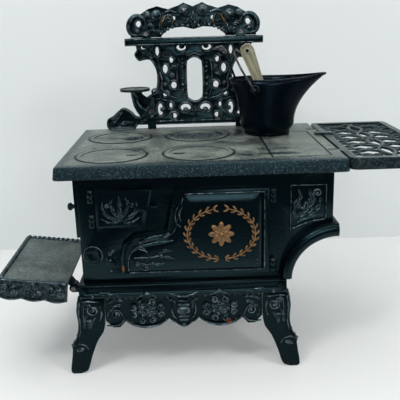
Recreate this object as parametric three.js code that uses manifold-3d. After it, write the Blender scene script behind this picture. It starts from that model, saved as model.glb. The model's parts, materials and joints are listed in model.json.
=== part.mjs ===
// A cast iron toy cooking stove with its lids, doors, shelves, coal scuttle and tools.
// Millimetres, +Z up, +X to the right of someone facing the stove, +Y towards its back.
// Sizes are worked out with X = 0 at the middle of the cooktop, Y = 0 at its front edge and
// Z = 0 on the floor; the last lines move the stove so that its outer box is centred.

import * as THREE from "three";
import { mergeVertices } from "three/addons/utils/BufferGeometryUtils.js";
import Module from "manifold-3d";

const wasm = await Module();
wasm.setup();

// Overall sizes
const cooktop_width = 230;
const cooktop_depth = 170;
const cooktop_height = 182;
const base_height = 81;
const back_height = 86.6;
const crest_height = 31.7;

// Clearances and fineness
const seat_gap = 0.3;
const pin_gap = 0.25;
const lift_gap = 0.5;
const overrun = 2;
const weld = 0.001;
const round_sides = 40;
const small_sides = 14;
const wire_sides = 8;
const corner_steps = 3;

// Cooktop
const top_plate = 4;
const top_lip_drop = 10.5;
const top_lip_wall = 4.5;
const top_corner = 2.6;
const top_bevel = 1.6;
const top_flare = 1.2;
const top_foot_bevel = 0.8;
const top_corner_points = 5;
const lid_hole_radius = 30;
const lid_ledge = 3;
const lid_recess = 2.2;
const lid_column_insets = [41, 113.7];
const lid_rows = [40.1, 119.3];
const rib_width = 2.4;
const rib_height = 0.25;
const rib_inset = 10;
const divider_inset = 83;

// Lids
const lid_thickness = 2.3;
const lid_rim = 4.5;
const lid_rim_drop = 0.7;
const lid_slot_length = 8;
const lid_slot_width = 3;
const lid_slot_depth = 1.1;
const lid_slot_reach = 19;

// Reservoir opening and its cover
const cover_right_inset = 10.7;
const cover_width = 47;
const cover_front = 15;
const cover_length = 107;
const cover_ledge = 3;
const cover_left_ledge = 9;
const cover_thickness = 1.9;
const cover_notch_width = 11;
const cover_notch_depth = 2.5;
const cover_notch_from_left = 20;

// Body plates
const body_left_inset = 15;
const body_front_inset = 9;
const body_back_inset = 9.5;
const body_right_inset = 51;
const wall = 4;
const reservoir_right_inset = 9.5;
const floor_thickness = 2.5;

// Curved reservoir base: two quarter ellipses that share a centre line
const sweep_overhang = 4.5;
const sweep_thickness = 11;
const sweep_foot = 8;
const sweep_inner_height = 46.5;
const sweep_proud = 4.5;
const sweep_steps = 14;

// Base frame, skirts and legs
const base_overhang = 4;
const moulding_height = 12.5;
const moulding_wall = 4;
const ledge_thickness = 3.5;
const ledge_width = 16;
const skirt_thickness = 3.5;
const skirt_inset = 1;
const skirt_drop = 28;
const pendant_half_width = 12;
const side_lobe_width = 36;
const cusp_rise = 7.5;
const boss_radius = 4;
const boss_proud = 1.6;
const leg_width = 20;
const leg_wall = 7;
const leg_solid_height = 36;
const tenon_inset = 4.8;
const tenon_width = 4;
const tenon_height = 8;

// Tie rods and nuts
const rod_radius = 1.6;
const rod_left_inset = 9;
const rod_right_inset = 9;
const rod_front_inset = 9;
const rod_boss_radius = 3.6;
const rod_boss_drop = 5.5;
const rod_cap = 1.5;
const rod_tail = 5;
const nut_radius = 3.4;
const nut_height = 3.4;
const nut_sides = 6;

// Doors and their hinges
const door_thickness = 3.4;
const rim_proud = 1.2;
const rim_width = 3.2;
const door_lap = 4;
const barrel_radius = 2.8;
const barrel_length = 4.2;
const hinge_reach = 3.5;
const pin_radius = 1.1;
const pin_head = 2;
const pin_head_height = 0.8;
const fire_door_inset = 15;
const fire_door_drop = 21;
const fire_door_width = 45;
const fire_door_height = 30.5;
const fire_door_slant = 6.5;
const fire_latch_length = 18;
const fire_latch_height = 4;
const fire_latch_proud = 2.4;
const fire_latch_lap = 7;
const fire_hinge_rises = [4.5, 25];
const oven_left_inset = 32.4;
const oven_right_inset = 11;
const oven_door_rise = 7;
const oven_door_drop = 22.8;
const oven_neck_inset = 77;
const oven_neck_slant = 4.5;
const oven_shoulder_drop = 57.3;
const oven_shoulder_inset = 55;
const oven_lobe_rise = 23;
const oven_neck_fillet = 8;
const oven_hinge_rises = [5, 64];
const side_door_front = 16;
const side_door_width = 59;
const side_door_drop = 63;
const side_door_height = 52;
const side_hinge_rises = [8, 40];
const knob_radius = 3.4;
const knob_length = 7.5;
const knob_neck = 1.7;
const knob_inset = 10;
const knob_rise = 24;

// Draft ring and catch block cast on the front plate
const draft_inset = 9.5;
const draft_rise = 24.8;
const draft_radius = 6.6;
const draft_hole = 3.4;
const draft_proud = 1.4;
const catch_inset = 23.7;
const catch_rise = 18;
const catch_width = 9;
const catch_height = 7.5;

// Firebox
const partition_inset = 64;
const partition_wall = 3.5;
const partition_drop = 60;
const pit_width = 25;
const grate_rise = 4.3;
const grate_thickness = 3;
const grate_end_gap = 9;
const grate_bars = 7;
const grate_slot_share = 0.5;
const grate_foot = 3;
const grate_rest_width = 3.5;

// High back, crest, warming shelf and teapot shelf
const back_half_width = 90.5;
const back_centre = -1;
const back_thickness = 3.5;
const back_rear_inset = 5;
const tenon_drop = 8;
const tab_inner = 40.5;
const tab_outer = 49;
const slot_gap = 0.4;
const crest_half_width = 64.3;
const shelf_half_width = 66;
const shelf_depth = 26;
const shelf_plate = 2.8;
const shelf_lip = 6.5;
const shelf_lip_wall = 2.4;
const shelf_corner = 3;
const flange_thickness = 2.4;
const flange_drop = 7;
const rivet_radius = 1.3;
const rivet_head = 2.3;
const rivet_head_height = 0.9;
const shelf_rivet_offset = 46;
const shelf_rivet_drop = 3.2;
const crest_rivet_offset = 46;
const crest_rivet_rise = 3.6;
const teapot_offset = -59;
const teapot_radius = 14.6;
const teapot_rise = 40.3;
const teapot_plate = 2.4;
const teapot_rim = 1.4;
const teapot_arm_width = 6;
const teapot_pad_offset = -45;
const teapot_pad_width = 7;
const teapot_pad_above = 13.5;
const teapot_pad_below = 4.5;
const teapot_rivet_rise = 18;

// Hearth shelf
const hearth_width = 56;
const hearth_depth = 100;
const hearth_plate = 2.6;
const hearth_front_drop = 17;
const hearth_side_drop = 5;
const hearth_skirt = 3;
const hearth_tilt_deg = 7;
const hearth_hinge_drop = 3;
const hearth_hinge_reach = 4.5;
const hearth_start = 3.5;
const hearth_plate_rise = 5.5;
const hearth_front = -3;
const hearth_ears = [12, 84];
const hearth_ear_length = 5;
const hearth_barrel = 3.4;
const hearth_pin = 1.4;
const hearth_lobes = 3;
const hearth_lobe_drop = 2;

// End shelf
const end_shelf_gap = 1.6;
const end_shelf_width = 76;
const end_shelf_height = 9.5;
const end_shelf_border = 6;
const end_shelf_plate = 3;
const end_shelf_corner = 7;
const end_shelf_front = 1;
const end_shelf_depth = 166;
const fret_columns = 3;
const fret_rows = 7;
const fret_long_share = 0.46;
const fret_short_share = 0.3;
const hook_places = [35, 131];
const hook_width = 7;
const hook_arm = 4.5;
const hook_drop = 11.5;
const hook_wall = 3;
const hook_slot_gap = 0.6;
const stop_lug_y = 104;
const stop_lug_width = 8;
const stop_lug_reach = 6;
const stop_lug_height = 2;

// Coal scuttle, bail, shovel and lid lifter
const scuttle_right_inset = 49;
const scuttle_y = 120.5;
const scuttle_turn_deg = -14;
const scuttle_wall = 1.7;
const scuttle_floor = 3;
const scuttle_foot_radius = 21.5;
const scuttle_foot_height = 4;
const scuttle_belly_radius = 25.5;
const scuttle_belly_rise = 10;
const scuttle_height = 51;
const scuttle_spout_rise = 4.5;
const scuttle_back_reach = 36;
const scuttle_spout_reach = 54;
const scuttle_half_mouth = 24.5;
const scuttle_spout_narrow_share = 0.45;
const scuttle_sides = 36;
const ear_x = -7.5;
const ear_rise = 43.5;
const ear_radius = 4.6;
const ear_thickness = 2;
const ear_stand = 26.2;
const ear_web_height = 3;
const bail_wire = 1;
const bail_height = 41;
const bail_lean_deg = 33;
const bail_steps = 30;
const shovel_thickness = 1.6;
const shovel_length = 80;
const shovel_blade_length = 30;
const shovel_blade_width = 19;
const shovel_neck_width = 5;
const shovel_top_width = 12.5;
const shovel_edge = 2.2;
const shovel_hole = 1.8;
const shovel_lean_deg = -21;
const shovel_foot_x = 9;
const shovel_foot_rise = 8;
const shovel_offset_y = -7;
const lifter_thickness = 2;
const lifter_width = 5;
const lifter_offset_y = 1.5;
const lifter_steps = 16;

// Places that follow from the sizes above
const top_left = -cooktop_width / 2;
const top_right = cooktop_width / 2;
const plate_under = cooktop_height - top_plate;
const body_left = top_left + body_left_inset;
const body_right = top_right - body_right_inset;
const body_front = body_front_inset;
const body_back = cooktop_depth - body_back_inset;
const wall_bottom = base_height + seat_gap;
const wall_top = plate_under - seat_gap;
const inner_front = body_front + wall;
const inner_back = body_back - wall;
const inner_left = body_left + wall;
const inner_right = body_right - wall;
const reservoir_right = top_right - reservoir_right_inset;
const base_left = body_left - base_overhang;
const base_right = body_right + base_overhang;
const base_front = body_front - base_overhang;
const base_back = body_back + base_overhang;
const moulding_bottom = base_height - moulding_height;
const door_back = body_front - seat_gap;
const door_front = door_back - door_thickness;
const hinge_y = door_back - barrel_radius;
const side_hinge_x = body_left - seat_gap - barrel_radius;
const back_rear = cooktop_depth - back_rear_inset;
const back_front = back_rear - back_thickness;
const back_bottom = cooktop_height + seat_gap;
const shelf_under = back_bottom + back_height + seat_gap;
const shelf_top = shelf_under + shelf_plate;
const crest_bottom = shelf_top + seat_gap;
const ledge_top = cooktop_height - lid_recess;
const lid_columns = lid_column_insets.map((inset) => top_left + inset);
const divider_x = top_right - divider_inset;
const cover_left = top_right - cover_right_inset - cover_width;
const partition_x = body_left + partition_inset;
const partition_step = cooktop_height - partition_drop;
const fire_door_left = body_left + fire_door_inset;
const fire_door_top = cooktop_height - fire_door_drop;
const oven_door_left = body_left + oven_left_inset;
const oven_door_right = body_right - oven_right_inset;
const oven_door_bottom = base_height + oven_door_rise;
const oven_door_top = cooktop_height - oven_door_drop;
const side_door_bottom = cooktop_height - side_door_drop;
const hearth_hinge_z = base_height - hearth_hinge_drop;
const rod_xs = [body_left + rod_left_inset, body_right - rod_right_inset];
const rod_ys = [body_front + rod_front_inset, body_back - rod_front_inset];

const stove = new THREE.Group();

// A colour is the part's own; roughness and metalness are those of its finish.
function finish(color, roughness, metalness) {
  return new THREE.MeshStandardMaterial({ color, roughness, metalness });
}
const japanned = finish(0x101a1d, 0.38, 0.5);
const cooked = finish(0x4b4e47, 0.7, 0.4);
const soot = finish(0x1b1b1a, 0.85, 0.3);
const black_tin = finish(0x16171a, 0.5, 0.5);
const brass = finish(0xb5ab8c, 0.55, 0.7);
const steel = finish(0x3a3d3d, 0.45, 0.8);

// A closed geometry as a solid that can be joined and cut.
function solid(geometry) {
  const bare = new THREE.BufferGeometry();
  bare.setAttribute("position", geometry.getAttribute("position"));
  bare.setIndex(geometry.index);
  const merged = mergeVertices(bare, weld);
  const made = new wasm.Mesh({
    numProp: 3,
    vertProperties: merged.attributes.position.array,
    triVerts: new Uint32Array(merged.index.array),
  });
  return new wasm.Manifold(made);
}

function join(first, ...rest) {
  return rest.reduce((whole, more) => whole.add(more), first);
}

function cut(first, ...tools) {
  return tools.reduce((left, tool) => left.subtract(tool), first);
}

// A solid moved by a matrix, by way of its mesh.
function moved(body, matrix) {
  return solid(geometryOf(body).applyMatrix4(matrix));
}

function geometryOf(body) {
  const mesh = body.getMesh();
  const geometry = new THREE.BufferGeometry();
  geometry.setAttribute("position", new THREE.BufferAttribute(mesh.vertProperties, 3));
  geometry.setIndex(new THREE.BufferAttribute(mesh.triVerts, 1));
  geometry.computeVertexNormals();
  return geometry;
}

// Adds a named piece to a group.
function addPiece(name, body, material, group = stove) {
  const mesh = new THREE.Mesh(geometryOf(body), material);
  mesh.name = name;
  group.add(mesh);
  return mesh;
}

function box(x0, x1, y0, y1, z0, z1) {
  const geometry = new THREE.BoxGeometry(x1 - x0, y1 - y0, z1 - z0);
  return solid(geometry.translate((x0 + x1) / 2, (y0 + y1) / 2, (z0 + z1) / 2));
}

// A round bar between two heights, two depths or two widths.
function postZ(x, y, z0, z1, radius, sides = small_sides) {
  const geometry = new THREE.CylinderGeometry(radius, radius, z1 - z0, sides);
  return solid(geometry.rotateX(Math.PI / 2).translate(x, y, (z0 + z1) / 2));
}

function postY(x, z, y0, y1, radius, sides = small_sides) {
  const geometry = new THREE.CylinderGeometry(radius, radius, y1 - y0, sides);
  return solid(geometry.translate(x, (y0 + y1) / 2, z));
}

function postX(y, z, x0, x1, radius, sides = small_sides) {
  const geometry = new THREE.CylinderGeometry(radius, radius, x1 - x0, sides);
  return solid(geometry.rotateZ(Math.PI / 2).translate((x0 + x1) / 2, y, z));
}

function extrude(shape, depth, steps = corner_steps) {
  return new THREE.ExtrudeGeometry(shape, { depth, bevelEnabled: false, curveSegments: steps });
}

// An outline drawn in X and Z as a plate between two depths.
function upright(shape, y0, y1, steps) {
  return solid(extrude(shape, y1 - y0, steps).rotateX(Math.PI / 2).translate(0, y1, 0));
}

// An outline drawn in Y and Z as a plate between two widths.
function sideways(shape, x0, x1, steps) {
  const turn = new THREE.Matrix4().makeBasis(
    new THREE.Vector3(0, 1, 0),
    new THREE.Vector3(0, 0, 1),
    new THREE.Vector3(1, 0, 0),
  );
  return solid(extrude(shape, x1 - x0, steps).applyMatrix4(turn).translate(x0, 0, 0));
}

// An outline drawn in X and Y as a plate between two heights.
function flat(shape, z0, z1, steps) {
  return solid(extrude(shape, z1 - z0, steps).translate(0, 0, z0));
}

function outline(points) {
  return new THREE.Shape(points.map(([x, y]) => new THREE.Vector2(x, y)));
}

function roundedRect(x0, y0, x1, y1, radius) {
  const shape = new THREE.Shape();
  shape.absarc(x1 - radius, y1 - radius, radius, 0, Math.PI / 2);
  shape.absarc(x0 + radius, y1 - radius, radius, Math.PI / 2, Math.PI);
  shape.absarc(x0 + radius, y0 + radius, radius, Math.PI, 1.5 * Math.PI);
  shape.absarc(x1 - radius, y0 + radius, radius, 1.5 * Math.PI, 2 * Math.PI);
  return shape;
}

function oval(x, y, rx, ry, turn = 0) {
  const path = new THREE.Path();
  path.absellipse(x, y, rx, ry, 0, 2 * Math.PI, false, turn);
  return path;
}

// A half outline given as shares of a half width and a height, mirrored about X = 0.
function mirroredOutline(shares, halfWidth, height, centre, bottom) {
  const left = shares.map(([x, z]) => [centre - x * halfWidth, bottom + z * height]);
  const right = shares.map(([x, z]) => [centre + x * halfWidth, bottom + z * height]);
  return outline([...left, ...right.reverse()]);
}

// Rings of points of equal count, joined into one closed solid. Rings run counter-clockwise
// seen from above, from the outside bottom up and, for a hollow, down again inside.
function loft(rings) {
  const count = rings[0].length;
  const positions = rings.flat().flatMap((p) => [p.x, p.y, p.z]);
  const index = [];
  rings.slice(1).forEach((_, i) => {
    for (let j = 0; j < count; j += 1) {
      const k = (j + 1) % count;
      const [a, b] = [i * count + j, i * count + k];
      index.push(a, b, b + count, a, b + count, a + count);
    }
  });
  const last = (rings.length - 1) * count;
  for (const [start, upward] of [[0, false], [last, true]]) {
    const centre = new THREE.Vector3();
    rings[start / count].forEach((p) => centre.add(p));
    centre.divideScalar(count);
    const middle = positions.length / 3;
    positions.push(centre.x, centre.y, centre.z);
    for (let j = 0; j < count; j += 1) {
      const k = (j + 1) % count;
      const [a, b] = [start + j, start + k];
      index.push(middle, ...(upward ? [a, b] : [b, a]));
    }
  }
  const geometry = new THREE.BufferGeometry();
  geometry.setAttribute("position", new THREE.Float32BufferAttribute(positions, 3));
  geometry.setIndex(index);
  return solid(geometry);
}

// Lobed lower edge of a skirt that hangs between two places: a small middle pendant,
// a broad lobe on each side of it and a last lobe that runs up to the leg.
function lobedSkirt(start, end, top, drop) {
  const middle = (start + end) / 2;
  const half = (end - start) / 2;
  const cusps = [pendant_half_width, pendant_half_width + side_lobe_width].filter((c) => c < half);
  const marks = [start, ...cusps.map((c) => middle - c).reverse(), ...cusps.map((c) => middle + c), end];
  const cuspZ = top - drop + cusp_rise;
  const shape = new THREE.Shape();
  shape.moveTo(end, top);
  shape.lineTo(start, top);
  shape.lineTo(start, cuspZ);
  marks.slice(1).forEach((mark, i) => {
    const mid = (marks[i] + mark) / 2;
    shape.quadraticCurveTo(mid, cuspZ - 2 * cusp_rise, mark, cuspZ);
  });
  shape.lineTo(end, top);
  return shape;
}

// The curve under the reservoir: a quarter ellipse from the base frame out to the right end.
function sweepPoint(outer, angle) {
  const centreX = reservoir_right + sweep_overhang;
  const footX = body_right + seat_gap + (outer ? sweep_foot : 0);
  const rise = outer ? sweep_inner_height - sweep_thickness : sweep_inner_height;
  const x = centreX - (centreX - footX) * Math.cos(angle);
  return [x, wall_bottom + rise * Math.sin(angle)];
}

function sweepCurve(outer) {
  const steps = Array.from({ length: sweep_steps + 1 }, (_, i) => (i / sweep_steps) * (Math.PI / 2));
  return steps.map((angle) => sweepPoint(outer, angle));
}

// Everything below the reservoir's curved floor, with the seat gap, as a cutting tool.
function underSweep() {
  const curve = sweepCurve(false).map(([x, z]) => [x - seat_gap, z + seat_gap]);
  const [endX, endZ] = curve[curve.length - 1];
  const low = wall_bottom - overrun;
  const far = endX + overrun;
  const points = [[body_right, low], ...curve, [far, endZ], [far, low]];
  return upright(outline(points), -overrun, cooktop_depth);
}

// A hinge barrel standing upright.
function barrelZ(x, y, z0, z1, radius = barrel_radius) {
  return postZ(x, y, z0, z1, radius, small_sides);
}

// Base frame with its four skirts, inner ledge, shelf ears and two front bosses.
function makeBaseFrame() {
  const ring = cut(
    box(base_left, base_right, base_front, base_back, moulding_bottom, base_height),
    box(
      base_left + moulding_wall,
      base_right - moulding_wall,
      base_front + moulding_wall,
      base_back - moulding_wall,
      moulding_bottom - overrun,
      base_height - ledge_thickness,
    ),
    box(
      base_left + ledge_width,
      base_right - ledge_width,
      base_front + ledge_width,
      base_back - ledge_width,
      moulding_bottom,
      base_height + overrun,
    ),
  );
  const skirtTop = moulding_bottom + ledge_thickness;
  const drop = skirt_drop + ledge_thickness;
  const inset = skirt_inset;
  const thick = skirt_inset + skirt_thickness;
  const clear = leg_width + seat_gap;
  const front = lobedSkirt(base_left + clear, base_right - clear, skirtTop, drop);
  const side = lobedSkirt(base_front + clear, base_back - clear, skirtTop, drop);
  const earFar = base_left - hearth_hinge_reach;
  const ears = hearth_ears.map((y) => {
    const from = y - hearth_ear_length - seat_gap;
    const barrel = postY(earFar, hearth_hinge_z, from, y - seat_gap, hearth_barrel);
    const webLow = hearth_hinge_z - hearth_barrel;
    const web = box(earFar, base_left + inset, from, y - seat_gap, webLow, hearth_hinge_z);
    const bore = postY(earFar, hearth_hinge_z, from - overrun, y + overrun, hearth_pin + pin_gap);
    return cut(join(barrel, web), bore);
  });
  const bossZ = (moulding_bottom + base_height) / 2;
  const bosses = [base_left + boss_radius, base_right - boss_radius].map((x) =>
    postY(x, bossZ, base_front - boss_proud, base_front + inset, boss_radius),
  );
  const holes = rod_xs.flatMap((x) =>
    rod_ys.map((y) => postZ(x, y, moulding_bottom, base_height + overrun, rod_radius + seat_gap)),
  );
  const whole = join(
    ring,
    upright(front, base_front + inset, base_front + thick),
    upright(front, base_back - thick, base_back - inset),
    sideways(side, base_left + inset, base_left + thick),
    sideways(side, base_right - thick, base_right - inset),
    ...ears,
    ...bosses,
  );
  addPiece("base_frame", cut(whole, ...holes), japanned);
}

// Outline of a leg seen from the front or the side, two curves that leave a straight top:
// distance inwards from the base corner as a share of the leg's width, and height as a share of
// the height under the moulding. The legs stand far out to the sides and only a little forwards.
const leg_outer_shares = [
  [-0.05, 1], [-0.13, 0.85], [-0.1, 0.68], [-0.17, 0.55], [-0.42, 0.39], [-0.5, 0.24], [-0.6, 0.05],
  [-0.5, 0],
];
const leg_inner_shares = [
  [-0.2, 0], [0.08, 0.035], [0.2, 0.1], [0.35, 0.24], [0.62, 0.44], [0.93, 0.59], [1, 0.8],
];
const leg_forward_share = 0.12;

function legOutline(corner, way, height, outwardShare) {
  const place = ([u, z]) => new THREE.Vector2(corner + way * u * leg_width, z * height);
  const outer = leg_outer_shares.map(([u, z]) => place([u * outwardShare, z]));
  const inner = leg_inner_shares.map(([u, z]) => place([u < 0 ? u * outwardShare : u, z]));
  const shape = new THREE.Shape();
  shape.moveTo(outer[0].x, outer[0].y);
  shape.splineThru(outer.slice(1));
  shape.lineTo(inner[0].x, inner[0].y);
  shape.splineThru(inner.slice(1));
  shape.lineTo(inner[inner.length - 1].x, height);
  return shape;
}

function makeLeg(name, right, rear) {
  const height = moulding_bottom - seat_gap;
  const cornerX = right ? base_right : base_left;
  const cornerY = rear ? base_back : base_front;
  const inX = right ? -1 : 1;
  const inY = rear ? -1 : 1;
  const reach = 2 * leg_width;
  const front = upright(legOutline(cornerX, inX, height, 1), cornerY - reach, cornerY + reach);
  const profile = legOutline(cornerY, inY, height, leg_forward_share);
  const side = sideways(profile, cornerX - reach, cornerX + reach);
  const hollow = box(
    Math.min(cornerX + inX * leg_wall, cornerX + inX * reach),
    Math.max(cornerX + inX * leg_wall, cornerX + inX * reach),
    Math.min(cornerY + inY * leg_wall, cornerY + inY * reach),
    Math.max(cornerY + inY * leg_wall, cornerY + inY * reach),
    leg_solid_height,
    height + overrun,
  );
  const near = (corner, way) => [corner + way * tenon_inset, corner + way * (tenon_inset + tenon_width)];
  const [x0, x1] = near(cornerX, inX).sort((a, b) => a - b);
  const [y0, y1] = near(cornerY, inY).sort((a, b) => a - b);
  const tenon = box(x0, x1, y0, y1, height - overrun, height + tenon_height);
  addPiece(name, join(cut(front.intersect(side), hollow), tenon), japanned);
}

function makeLegs() {
  makeLeg("leg_front_left", false, false);
  makeLeg("leg_front_right", true, false);
  makeLeg("leg_rear_left", false, true);
  makeLeg("leg_rear_right", true, true);
}

function makeFloor() {
  const g = seat_gap;
  const top = wall_bottom + floor_thickness;
  const plate = box(inner_left + g, inner_right - g, inner_front + g, inner_back - g, wall_bottom, top);
  const holes = rod_xs.flatMap((x) =>
    rod_ys.map((y) => postZ(x, y, base_height - overrun, top + overrun, rod_radius + g)),
  );
  addPiece("floor_plate", cut(plate, ...holes), soot);
}

// Outline of the oven door, drawn in by a distance on every side.
function ovenOutline(inset) {
  const left = oven_door_left + inset;
  const right = oven_door_right - inset;
  const bottom = oven_door_bottom + inset;
  const top = oven_door_top - inset;
  const shoulder = cooktop_height - oven_shoulder_drop - inset;
  const shoulderStart = body_left + oven_shoulder_inset;
  const lobeSide = base_height + oven_lobe_rise;
  const neckTop = body_left + oven_neck_inset + inset;
  const neckFoot = neckTop - oven_neck_slant;
  const shape = new THREE.Shape();
  shape.moveTo(right, bottom);
  shape.lineTo(right, top);
  shape.lineTo(neckTop, top);
  shape.lineTo(neckFoot, shoulder + oven_neck_fillet);
  shape.quadraticCurveTo(neckFoot - inset / 2, shoulder, neckFoot - oven_neck_fillet, shoulder);
  shape.lineTo(shoulderStart, shoulder);
  shape.bezierCurveTo(
    (left + shoulderStart) / 2, shoulder,
    left, (shoulder + lobeSide + oven_neck_fillet) / 2,
    left, lobeSide,
  );
  shape.lineTo(left, bottom);
  return shape;
}

function fireOutline(inset) {
  const right = fire_door_left + fire_door_width - inset;
  const bottom = fire_door_top - fire_door_height + inset;
  return outline([
    [fire_door_left + inset, bottom],
    [right - fire_door_slant, bottom],
    [right, fire_door_top - inset],
    [fire_door_left + inset, fire_door_top - inset],
  ]);
}

// The lower half of each hinge: a bored barrel and a web on the front plate.
function frontLugs(x, rises, bottom) {
  return rises.map((rise) => {
    const top = bottom + rise;
    const low = top - barrel_length;
    const web = box(x - barrel_radius / 2, x + barrel_radius / 2, hinge_y, body_front + overrun, low, top);
    const bore = postZ(x, hinge_y, low - overrun, top + overrun, pin_radius + pin_gap);
    return cut(join(barrelZ(x, hinge_y, low, top), web), bore);
  });
}

// The upper half of each hinge, which belongs to the door, and the bore through it.
function doorBarrels(x, rises, bottom, reachTo) {
  const [x0, x1] = [x, reachTo].sort((a, b) => a - b);
  return rises.map((rise) => {
    const low = bottom + rise + seat_gap;
    const top = low + barrel_length;
    const web = box(x0, x1, door_front, door_back, low, top);
    return join(barrelZ(x, hinge_y, low, top), web);
  });
}

function hingePin(name, x, y, low) {
  const top = low + 2 * barrel_length + 2 * seat_gap;
  const pin = join(
    postZ(x, y, low, top + pin_head_height, pin_radius),
    postZ(x, y, top, top + pin_head_height, pin_head),
  );
  addPiece(name, pin, steel);
}

const fire_hinge_x = fire_door_left - hinge_reach;
const fire_bottom = fire_door_top - fire_door_height;
const oven_hinge_x = oven_door_right + hinge_reach;

function makeFrontPlate() {
  const [draftX, draftZ] = [body_left + draft_inset, base_height + draft_rise];
  const [catchX, catchZ] = [body_left + catch_inset, base_height + catch_rise];
  const plate = cut(
    box(body_left, reservoir_right, body_front, inner_front, wall_bottom, wall_top),
    underSweep(),
    upright(ovenOutline(door_lap), body_front - overrun, inner_front + overrun),
    upright(fireOutline(door_lap), body_front - overrun, inner_front + overrun),
  );
  const ring = cut(
    postY(draftX, draftZ, body_front - draft_proud, body_front + seat_gap, draft_radius, round_sides / 2),
    postY(draftX, draftZ, body_front - overrun, body_front, draft_hole, round_sides / 2),
  );
  const block = box(
    catchX - catch_width / 2, catchX + catch_width / 2,
    body_front - draft_proud, body_front + seat_gap,
    catchZ - catch_height / 2, catchZ + catch_height / 2,
  );
  const lugs = [
    ...frontLugs(fire_hinge_x, fire_hinge_rises, fire_bottom),
    ...frontLugs(oven_hinge_x, oven_hinge_rises, oven_door_bottom),
  ];
  addPiece("front_plate", join(plate, ring, block, ...lugs), japanned);
}

function makeOtherPlates() {
  const back = box(body_left, body_right, inner_back, body_back, wall_bottom, wall_top);
  addPiece("back_plate", back, japanned);
  const y0 = inner_front + seat_gap;
  const y1 = inner_back - seat_gap;
  addPiece("right_plate", box(inner_right, body_right, y0, y1, wall_bottom, wall_top), japanned);
  const sideTop = side_door_bottom + side_door_height;
  const opening = box(
    body_left - overrun, inner_left + overrun,
    side_door_front + door_lap, side_door_front + side_door_width - door_lap,
    side_door_bottom + door_lap, sideTop - door_lap,
  );
  const axisY = side_door_front + side_door_width + hinge_reach;
  const lugs = side_hinge_rises.map((rise) => {
    const top = side_door_bottom + rise;
    const low = top - barrel_length;
    const half = barrel_radius / 2;
    const web = box(side_hinge_x, body_left + overrun, axisY - half, axisY + half, low, top);
    const bore = postZ(side_hinge_x, axisY, low - overrun, top + overrun, pin_radius + pin_gap);
    return cut(join(barrelZ(side_hinge_x, axisY, low, top), web), bore);
  });
  const restTop = partition_step + partition_wall + grate_rise - seat_gap;
  const rest = box(
    inner_left - seat_gap, inner_left + grate_rest_width,
    y0 + grate_end_gap, y1 - grate_end_gap,
    restTop - grate_rest_width, restTop,
  );
  const plate = cut(box(body_left, inner_left, y0, y1, wall_bottom, wall_top), opening);
  addPiece("left_plate", join(plate, ...lugs, rest), japanned);
  side_hinge_rises.forEach((rise, i) => {
    const low = side_door_bottom + rise - barrel_length;
    hingePin(["side_door_pin_lower", "side_door_pin_upper"][i], side_hinge_x, axisY, low);
  });
}

function makeReservoir() {
  const inner = sweepCurve(false);
  const outer = sweepCurve(true).reverse();
  const band = upright(outline([...inner, ...outer]), body_front - sweep_proud, body_back);
  addPiece("reservoir_base", band, japanned);
  const left = body_right + seat_gap;
  const front = inner_front + seat_gap;
  const end = box(reservoir_right - wall, reservoir_right, front, body_back, wall_bottom, wall_top);
  const rear = box(left, reservoir_right, inner_back, body_back, wall_bottom, wall_top);
  addPiece("reservoir_shell", cut(join(end, rear), underSweep()), japanned);
}

// A stepped plate: down between firebox and oven, across over the ash pit's side, down again.
function makePartition() {
  const t = partition_wall;
  const low = wall_bottom + floor_thickness + seat_gap;
  const pit = inner_left + pit_width;
  const plate = outline([
    [partition_x, wall_top], [partition_x, partition_step + t],
    [pit, partition_step + t], [pit, low], [pit + t, low], [pit + t, partition_step],
    [partition_x + t, partition_step], [partition_x + t, wall_top],
  ]);
  addPiece("oven_partition", upright(plate, inner_front + seat_gap, inner_back - seat_gap), soot);
}

function makeGrate() {
  const left = inner_left + seat_gap;
  const right = partition_x - seat_gap;
  const front = inner_front + grate_end_gap;
  const rear = inner_back - grate_end_gap;
  const low = partition_step + partition_wall + grate_rise;
  const pitch = (right - left) / (grate_bars + 1);
  const top = low + grate_thickness;
  const slots = Array.from({ length: grate_bars }, (_, i) => {
    const x = left + (i + 1) * pitch;
    const half = (pitch * grate_slot_share) / 2;
    const [slotFront, slotRear] = [front + grate_end_gap, rear - grate_end_gap];
    return box(x - half, x + half, slotFront, slotRear, low - overrun, top + overrun);
  });
  const footX = right - grate_foot;
  const foot = box(footX - grate_foot, footX, front, rear, low - grate_rise + seat_gap, low + seat_gap);
  const plate = box(left, right, front, rear, low, top);
  addPiece("fire_grate", join(cut(plate, ...slots), foot), soot);
}

// The cooktop's outline at one height, let out or drawn in all round by the same amount.
function topRing(out, z) {
  const radius = top_corner + out;
  const [halfX, halfY] = [cooktop_width / 2 - top_corner, cooktop_depth / 2 - top_corner];
  const corners = [[halfX, halfY], [-halfX, halfY], [-halfX, -halfY], [halfX, -halfY]];
  return corners.flatMap(([x, y], i) =>
    Array.from({ length: top_corner_points }, (_, j) => {
      const angle = (i + j / (top_corner_points - 1)) * (Math.PI / 2);
      const across = y + cooktop_depth / 2 + radius * Math.sin(angle);
      return new THREE.Vector3(x + radius * Math.cos(angle), across, z);
    }),
  );
}

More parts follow.
